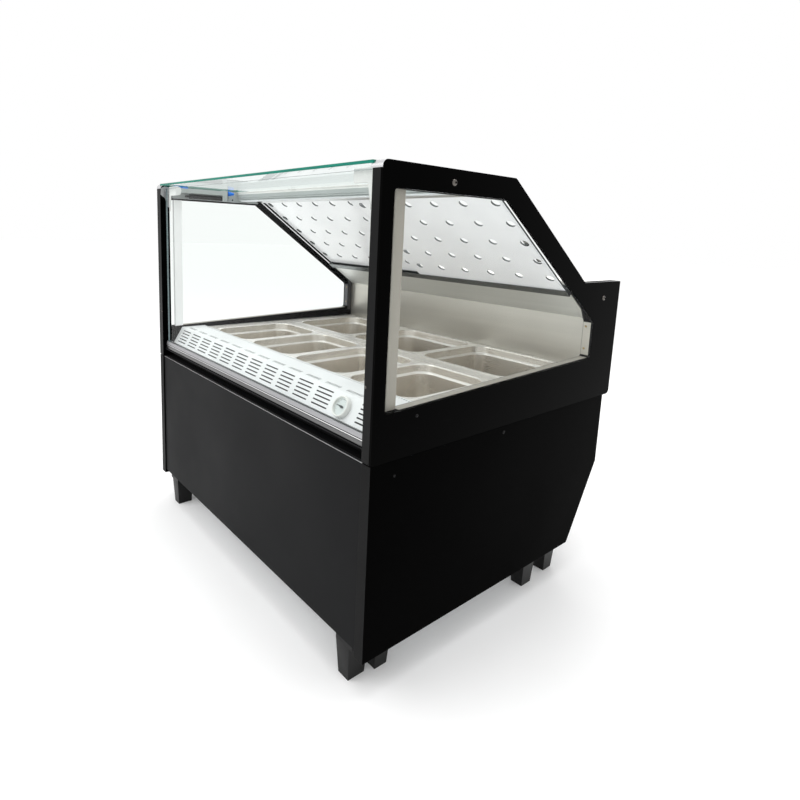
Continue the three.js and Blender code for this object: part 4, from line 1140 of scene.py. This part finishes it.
def make_grille():
    """The white air grille: slots up its face, small slots over its ridge, a comb along its rear."""
    rear, top = span("air_grille", 1)[1], span("air_grille", 2)[1]
    low = span("air_grille", 2)[0]
    corners = [(GRILLE_FOOT.x, low), (*GRILLE_FOOT, 3), (*GRILLE_RIDGE, 5), (rear, top, 3), (rear, top - 8.6)]
    path = arc_points(corners, 5)
    gauge = middle("gauge_lens").x / MM
    holes = []
    for column in range(COLUMNS):
        x = FIRST_COLUMN + column * COLUMN_PITCH
        for row in range(5):
            u = 13 + row * 10.5 + SLOT_HEIGHT / 2
            length = nearest_length(path, GRILLE_FOOT + FACE_UP * u)
            if abs(x - gauge) > SLOT_LENGTH / 2:
                holes.append(capsule(x, length, SLOT_LENGTH, SLOT_HEIGHT, 3))
        if abs(x - gauge) < SLOT_LENGTH / 2:
            length = nearest_length(path, GRILLE_FOOT + FACE_UP * 14.7)
            holes.append(capsule(x - 24, length, 12, SLOT_HEIGHT, 3))
        for i in range(8):
            small = nearest_length(path, Vector((GRILLE_RIDGE.x + 17, top)))
            across_x = x + (i - 3.5) * 7.6
            holes.append(turned_slot(across_x, small, 12, 3))
    comb = nearest_length(path, Vector((rear - 9, top)))
    for i in range(138):
        holes.append(turned_slot(-548 + i * 8, comb, 6, 2.2))
    half = span("air_grille", 0)[1]
    sheet = bent_sheet("air_grille_fine", path, holes, half, 1.6)
    # The slots' walls take the near-black: painted shade.
    fixed(sheet, ["white", "slot_painted_shade"], 0, 2, ["air_grille"])
    lip = along_x("grille_lip", [(35.6, 592), (35.6, 594.4), (39, 596), (39, 592)], (-half, half))
    fixed(lip, "white", 0.0002)
    for side, sign in SIDES:
        end = [
            (GRILLE_FOOT.x + 2, low + 2),
            (GRILLE_FOOT.x + 2.4, GRILLE_FOOT.y),
            (GRILLE_RIDGE.x + 1.6, top - 2),
            (rear - 2, top - 2),
            (rear - 2, top - 7),
            (rear - 40, low + 20),
        ]
        cheek = along_x(f"grille_end_{side}", end, across(sign, half - 1.6, half - 0.2))
        fixed(cheek, "white", 0.0002)
    channel = [
        (58, low + 8),
        (60, low + 8),
        (92, top - 12),
        (rear - 5, top - 12),
        (rear - 5, top - 10),
        (90, top - 10),
    ]
    duct = along_x("grille_duct", channel, (-half + 4, half - 60))
    fixed(duct, "duct_shade", 0.0003)


def make_gauge():
    """The round thermometer, square to the grille's face: case, dial, marks, needle and lens."""
    outward = Vector((0, -FACE_UP.y, FACE_UP.x))
    upward = Vector((0, FACE_UP.x, FACE_UP.y))
    centre = middle("gauge_lens") - outward * 11 * MM
    drawn = pointing(centre, outward, upward)
    body = [
        (0, -1.8), (25, -1.8), (26, 0), (26.2, 9), (25.9, 11.6), (24.9, 13.2), (23.4, 13.7),
        (22.2, 13), (21.6, 11.4), (21.3, 7.5), (20.6, 6.2), (0, 6.2),
    ]
    fixed(lathe("gauge_case", body, drawn, 64), "bezel", 0, 2, ["gauge_body"])
    face = lathe("gauge_dial", [(0, 6.3), (20.4, 6.3), (20.4, 6.5), (0, 6.5)], drawn, 64)
    fixed(face, "dial")
    marks = bmesh.new()
    for i in range(49):
        long = i % 6 == 0
        inner, outer, half = (14.6, 19, 0.32) if long else (17, 19, 0.18)
        turn = Matrix.Rotation(math.radians(120 - 5 * i), 4, "Z")
        corners = [turn @ Vector((x, y, 6.56)) for x, y in rectangle((-half, half), (inner, outer))]
        marks.faces.new([marks.verts.new(corner) for corner in corners])
    bmesh.ops.transform(marks, matrix=drawn, verts=marks.verts)
    fixed(from_bmesh("gauge_marks", marks), "ink")
    rest = Matrix.Rotation(math.radians(84), 4, "Z")
    pointer = [(-2.2, -8), (2.2, -8), (3, -1), (1.1, 6), (0.5, 17), (-0.5, 17), (-1.1, 6), (-3, -1)]
    needle = plate("needle", pointer, [], 0.8)
    bmesh.ops.translate(needle, verts=needle.verts, vec=(0, 0, 7.4))
    bmesh.ops.transform(needle, matrix=drawn @ rest, verts=needle.verts)
    hub = lathe("hub", [(0, 6.8), (2.6, 6.8), (2.6, 8.6), (1.8, 9.2), (0, 9.2)], drawn, 24)
    whole = join("gauge_pointer", [from_bmesh("needle", needle), hub])
    place_piece(whole, "gauge_needle", "pointer", 0, 2, ["gauge_needle"])
    dome = [(0, 10.4), (21.2, 10.4), (21.2, 11.2), (18, 11.9), (10, 12.5), (0, 12.8)]
    lens = lathe("gauge_glass", dome, drawn, 48)
    fixed(lens, "glass", 0, 2, ["gauge_lens"])


# ---- Sliding doors -------------------------------------------------------------------------------

DOOR_SPAN = (-14, 441)
DOOR_THICKNESS = 5
DOOR_DEPTHS = {"left": 29.5, "right": 39.5}
HOLE_RADIUS = 12.5
FIRST_HOLE = (33, 34)
HOLE_PITCH = (102, 82)
GUIDE_DEPTH = 46.5


def slope_matrix(s, depth):
    """Local x along the cabinet, y down the slope, z outwards, at a depth under the slope's line."""
    spot = SLOPE_TOP + RUN * s + INWARD * depth
    return Matrix(
        (
            (MM, 0, 0, 0),
            (0, RUN.x * MM, -INWARD.x * MM, back(spot.x)),
            (0, RUN.y * MM, -INWARD.y * MM, spot.y * MM),
            (0, 0, 0, 1),
        )
    )


def make_doors():
    """Two perforated sheets in their tracks, their pulls, and the strips beside them. The sheets and strips
    glow a little as painted light, and their edges and hole walls carry painted shade.
    """
    for side, sign in SIDES:
        name = f"door_{side}"
        depth = DOOR_DEPTHS[side]
        holes = []
        for column in range(6):
            for row in range(5):
                x = sign * (FIRST_HOLE[0] + HOLE_PITCH[0] * column)
                holes.append(circle(x, FIRST_HOLE[1] + HOLE_PITCH[1] * row, HOLE_RADIUS, 40))
        sheet = plate(name, rectangle(span(name, 0), DOOR_SPAN), holes, DOOR_THICKNESS)
        bmesh.ops.transform(sheet, matrix=slope_matrix(0, depth + DOOR_THICKNESS), verts=sheet.verts)
        obj = from_bmesh(f"{name}_sheet", sheet)
        place_piece(obj, name, ["acrylic", "acrylic_edge_painted_shade"], 0.0004, 2, [name])
        # Edges and hole walls take the dark edge colour: painted shade.
        outward = Vector((0, -INWARD.x, -INWARD.y))
        two_looks(obj, lambda normal: abs(normal.dot(outward)) < 0.5)
        guide = plate("guide", rectangle(across(sign, 557, 563.7), (-10, 415)), [], 1.5)
        bmesh.ops.transform(guide, matrix=slope_matrix(0, GUIDE_DEPTH), verts=guide.verts)
        fixed(from_bmesh(f"door_guide_{side}", guide), "acrylic", 0.0003)
        x = sorted((sign * 536, sign * 552))
        corners = [(x[0], 130, 5), (x[1], 130, 5), (x[1], 290, 5), (x[0], 290, 5)]
        pull = plate("pull", arc_points(corners), [], 2.6)
        bmesh.ops.transform(pull, matrix=slope_matrix(0, depth + 0.2), verts=pull.verts)
        place_piece(from_bmesh(f"{name}_pull", pull), name, "aluminium", 0.0006, 3)
    refine("door_rail_top", "aluminium", 0.0005)
    # The bottom rail takes the darker copy of the aluminium: painted shade.
    refine("door_rail_bottom", "rail_dark", 0.0005)


# ---- Refrigeration and staff side ----------------------------------------------------------------

COMPRESSOR = Vector((-330, 470, 103))
CONDENSER_FAN = Vector((190, 640, 200))
EVAPORATOR_FAN = Vector((0, 560, 392))
CONDENSER_FAN_RADIUS = 88
EVAPORATOR_FAN_RADIUS = 46


def make_compressor():
    """The hermetic can on its rubber mounts, its terminal box and its copper pipes."""
    x, y, z = COMPRESSOR
    upright_axis = pointing(spot(x, y, z), (0, 0, 1))
    shell = [
        (0, 30), (54, 30), (72, 34), (82, 42), (87, 56), (87.6, 104), (90.6, 105.5), (90.6, 111.5),
        (87, 113), (86, 140), (81, 158), (70, 172), (50, 181), (20, 185), (0, 185.6),
    ]
    can = lathe("compressor_shell", shell, upright_axis, 64)
    foot = cuboid("compressor_foot", (x - 105, x + 105), (y - 80, y + 80), (z + 22, z + 29))
    whole = join("compressor_can", [can, foot])
    fixed(whole, "enamel", 0.0008, 3, ["compressor"])
    mount = [(0, 0), (12, 0), (12.6, 2), (12, 9), (9, 11), (9, 15), (12, 17), (12, 22), (0, 22)]
    for number, (sx, sy) in enumerate(((-1, -1), (1, -1), (1, 1), (-1, 1)), 1):
        place = pointing(spot(x + sx * 88, y + sy * 64, z), (0, 0, 1))
        fixed(lathe(f"compressor_mount_{number}", mount, place, 32), "rubber")
        top = (x + sx * 88, y + sy * 64, z + 29)
        bolt(f"compressor_bolt_{number}", top, (0, 0, 1), 6, "galvanised")
    box = cuboid("terminal_box", (x - 28, x + 28), (y - 101, y - 80), (z + 62, z + 128))
    fixed(box, "black_plastic", 0.003, 3)
    paths = {
        "suction_pipe": (
            (x + 50, y + 20, 268),
            (x + 50, y + 20, 306),
            (-180, y + 60, 312),
            (-120, 600, 312),
            (-120, 650, 318),
        ),
        "discharge_pipe": (
            (x + 60, y - 20, 262),
            (x + 60, y - 20, 296),
            (-60, y - 20, 300),
            (40, 500, 280),
            (52, 534, 268),
        ),
        "liquid_pipe": ((52, 576, 130), (20, 600, 128), (-60, 640, 140), (-70, 660, 250), (-70, 664, 320)),
        "process_pipe": ((x - 40, y - 20, 276), (x - 40, y - 20, 292), (x - 56, y - 30, 300)),
    }
    for name, path in paths.items():
        pipe = tube(name, [spot(*point) for point in path], 0.0045, 16)
        fixed(pipe, "copper")


def fin_block(name, tube_rows, pitch):
    """A heat exchanger: thin fins on straight tubes that turn back at each end plate."""
    x, z = span(name, 0), span(name, 2)
    y = span(name, 1)
    inset = 9
    fins = []
    count = int((x[1] - x[0] - 2 * inset) / pitch)
    for i in range(count + 1):
        at = x[0] + inset + i * (x[1] - x[0] - 2 * inset) / count
        fins.append(cuboid(f"{name}_fin", (at - 0.3, at + 0.3), (y[0] + 2, y[1] - 2), (z[0] + 3, z[1] - 3)))
    fixed(join(f"{name}_fins", fins), "aluminium", 0, 2, [name])
    for side, (start, end) in (("left", (x[0] + 5, x[0] + 7)), ("right", (x[1] - 7, x[1] - 5))):
        cheek = cuboid(f"{name}_plate_{side}", (start, end), y, z)
        fixed(cheek, "galvanised", 0.0004)
    columns = [y[0] + (y[1] - y[0]) * (i + 0.5) / tube_rows[0] for i in range(tube_rows[0])]
    for number, distance in enumerate(columns, 1):
        path = []
        step = (z[1] - z[0] - 24) / (tube_rows[1] - 1)
        for i in range(tube_rows[1]):
            height = z[0] + 12 + i * step
            ends = (x[0] + 5, x[1] - 5) if i % 2 == 0 else (x[1] - 5, x[0] + 5)
            path += [(ends[0], distance, height), (ends[0], distance, height)]
            path += [(ends[1], distance, height), (ends[1], distance, height)]
        bend = tube(f"{name}_coil_{number}", [spot(*point) for point in path], 0.0045, 12)
        fixed(bend, "copper")


def fan_blades(name, centre, radius, blades):
    """A moulded fan: a domed hub and blades that twist and sweep towards their tips."""
    drawn = pointing(centre, (0, -1, 0))
    hub = lathe(f"{name}_hub", [(0, -11), (21, -11), (22, -9), (22, 8), (19, 11), (0, 12)], drawn, 48)
    parts = [hub]
    stations = 9
    for i in range(blades):
        rings = []
        for k in range(stations):
            t = k / (stations - 1)
            reach = 20 + (radius - 22) * t
            chord = 0.62 * (0.75 + 0.45 * math.sin(math.pi * min(1, t * 0.8 + 0.1))) * (2 * math.pi / blades)
            swing = 2 * math.pi * i / blades + 0.35 * t * t
            pitch = 8.5 * (1 - 0.35 * t)
            upper, lower = [], []
            for j in range(7):
                w = j / 6 - 0.5
                angle = swing + chord * w
                lift = -2 * pitch * w + 2.4 * (0.25 - w * w)
                thick = 1.1 * (1 - 3 * w * w)
                x, y = reach * math.cos(angle), reach * math.sin(angle)
                upper.append((x, y, lift + thick))
                lower.append((x, y, lift - thick))
            rings.append(upper + list(reversed(lower)))
        blade = loft(f"{name}_blade", rings)
        blade.data.transform(drawn @ Matrix.Scale(1 / MM, 4))
        parts.append(blade)
    place_piece(join(f"{name}_rotor", parts), name, "black_plastic", 0, 2, [name])


def fan_guard(name, centre, radius, rings):
    """The shroud ring round a fan, and the wire guard over it."""
    drawn = pointing(centre, (0, 1, 0))
    ring = [
        (radius + 3, -16), (radius + 6, -16), (radius + 6, -14), (radius + 4.2, -13),
        (radius + 4.2, 12), (radius + 3, 12), (radius + 3, -16),
    ]
    fixed(lathe(f"{name}_shroud", ring, drawn, 64), "black_plastic")
    wire = 0.9
    sixths = [k * math.pi / 3 for k in range(7)]
    wires = []
    for i in range(rings):
        reach = 24 + (radius - 22) * i / (rings - 1)
        loop = [(reach + wire * math.cos(a), 17 + wire * math.sin(a)) for a in sixths]
        wires.append(lathe(f"{name}_wire", loop, drawn, 64))
    for i in range(4):
        turn = math.pi / 4 + i * math.pi / 2
        ends = [drawn @ Vector((r * math.cos(turn), r * math.sin(turn), 18.4)) for r in (22, radius + 5)]
        wires.append(tube(f"{name}_spoke", [ends[0], ends[0].lerp(ends[1], 0.5), ends[1]], 0.0011, 8))
    fixed(join(f"{name}_guard", wires), "galvanised")


def make_fans():
    for name, place, radius, rings in (
        ("condenser_fan", CONDENSER_FAN, CONDENSER_FAN_RADIUS, 9),
        ("evaporator_fan", EVAPORATOR_FAN, EVAPORATOR_FAN_RADIUS, 5),
    ):
        centre = spot(*place)
        fan_blades(name, centre, radius, 5)
        fan_guard(name, centre, radius, rings)


SEGMENTS = {
    "a": ((-2.6, 9), (2.6, 9)),
    "b": ((3.2, 5), (3.2, 8.4)),
    "c": ((3.2, -8.4), (3.2, -5)),
    "d": ((-2.6, -9), (2.6, -9)),
    "e": ((-3.2, -8.4), (-3.2, -5)),
    "f": ((-3.2, 5), (-3.2, 8.4)),
    "g": ((-2.6, 0), (2.6, 0)),
}


def make_controls():
    """The panel on the staff side: display, buttons, screws and two rocker switches."""
    refine("control_panel", "black_plastic", 0.0012, 3)
    y = span("control_panel", 1)[1]
    z = span("control_panel", 2)
    x = span("control_panel", 0)
    screen = cuboid("control_screen", (x[0] + 22, x[0] + 92), (y - 0.4, y + 0.8), (z[0] + 18, z[1] - 14))
    fixed(screen, "screen", 0.0004)
    bars = []
    for number, shown in enumerate(("bc", "abcdefg")):
        left = x[0] + 66 - 20 * number
        for letter in shown:
            (ax, az), (bx, bz) = SEGMENTS[letter]
            centre = (z[0] + z[1]) / 2 + 2
            wide = (left + min(ax, bx) * 1.25 - 0.7, left + max(ax, bx) * 1.25 + 0.7)
            tall = (centre + min(az, bz) - 0.7, centre + max(az, bz) + 0.7)
            bars.append(cuboid("bar", wide, (y + 0.75, y + 1), tall))
    fixed(join("control_digits", bars), "digits")
    for i in range(4):
        at = spot(x[0] + 30 + 18 * i, y - 0.2, z[0] + 9)
        profile = [(0, 0), (4, 0), (4, 1.4), (3.4, 1.9), (0, 2)]
        button = lathe(f"control_button_{i + 1}", profile, pointing(at, (0, 1, 0)), 24)
        fixed(button, "pale")
    for number, (dx, dz) in enumerate(((5, 6), (215, 6), (5, 64), (215, 64)), 1):
        bolt(f"control_screw_{number}", (x[0] + dx, y, z[0] + dz), (0, 1, 0), 2.6, "galvanised", rise=0.35)
    for name in ("light_switch", "power_switch"):
        refine(name, "red", 0.0008, 3)
        centre = middle(name) / MM
        high = span(name, 2)[1]
        face = span(name, 1)[1]
        wide = (centre.x - 1, centre.x + 1)
        line = cuboid(f"{name}_mark", wide, (face - 2.6, face - 1.8), (high - 9, high - 4))
        place_piece(line, name, "bezel")


def make_rear():
    """The rear panel's screws, and the mains inlet with its three pins."""
    y = span("rear_panel", 1)[1]
    x = span("rear_panel", 0)
    z = span("rear_panel", 2)
    for number, dx in enumerate((18, 380, 760, x[1] - x[0] - 18), 1):
        place = (x[0] + dx, y, z[1] - 14)
        bolt(f"rear_screw_{number}", place, (0, 1, 0), 4, "galvanised", rise=0.4)
    place = pointing(spot(x[0] + 40, y, z[1] - 90), (0, 1, 0))
    socket = [(0, -1), (13, -1), (13, 3), (11.6, 4), (10.4, 4), (9.6, 1), (0, 1)]
    fixed(lathe("mains_inlet", socket, place, 40), "black_plastic")
    pins = []
    for angle in (90, 210, 330):
        turn = math.radians(angle)
        spot_x, spot_z = x[0] + 40 + 4.6 * math.cos(turn), z[1] - 90 + 4.6 * math.sin(turn)
        pin = [(0, 0.5), (1.1, 0.5), (1.1, 3), (0.7, 3.4), (0, 3.4)]
        pins.append(lathe("pin", pin, pointing(spot(spot_x, y, spot_z), (0, 1, 0)), 16))
    fixed(join("mains_pins", pins), "brass")


# ---- The whole cabinet --------------------------------------------------------------------------

LOOKS = make_looks()

make_camera()
make_light()
make_floor()
make_ends()
make_fasteners()
make_body()
make_feet()
make_glass()
for side, sign in SIDES:
    make_hinge(side, sign)
    make_strut(side)
make_beam()
make_pans()
make_well()
make_grille()
make_gauge()
make_doors()
make_compressor()
fin_block("condenser", (3, 8), 3.2)
fin_block("evaporator", (4, 4), 6)
make_fans()
make_controls()
make_rear()
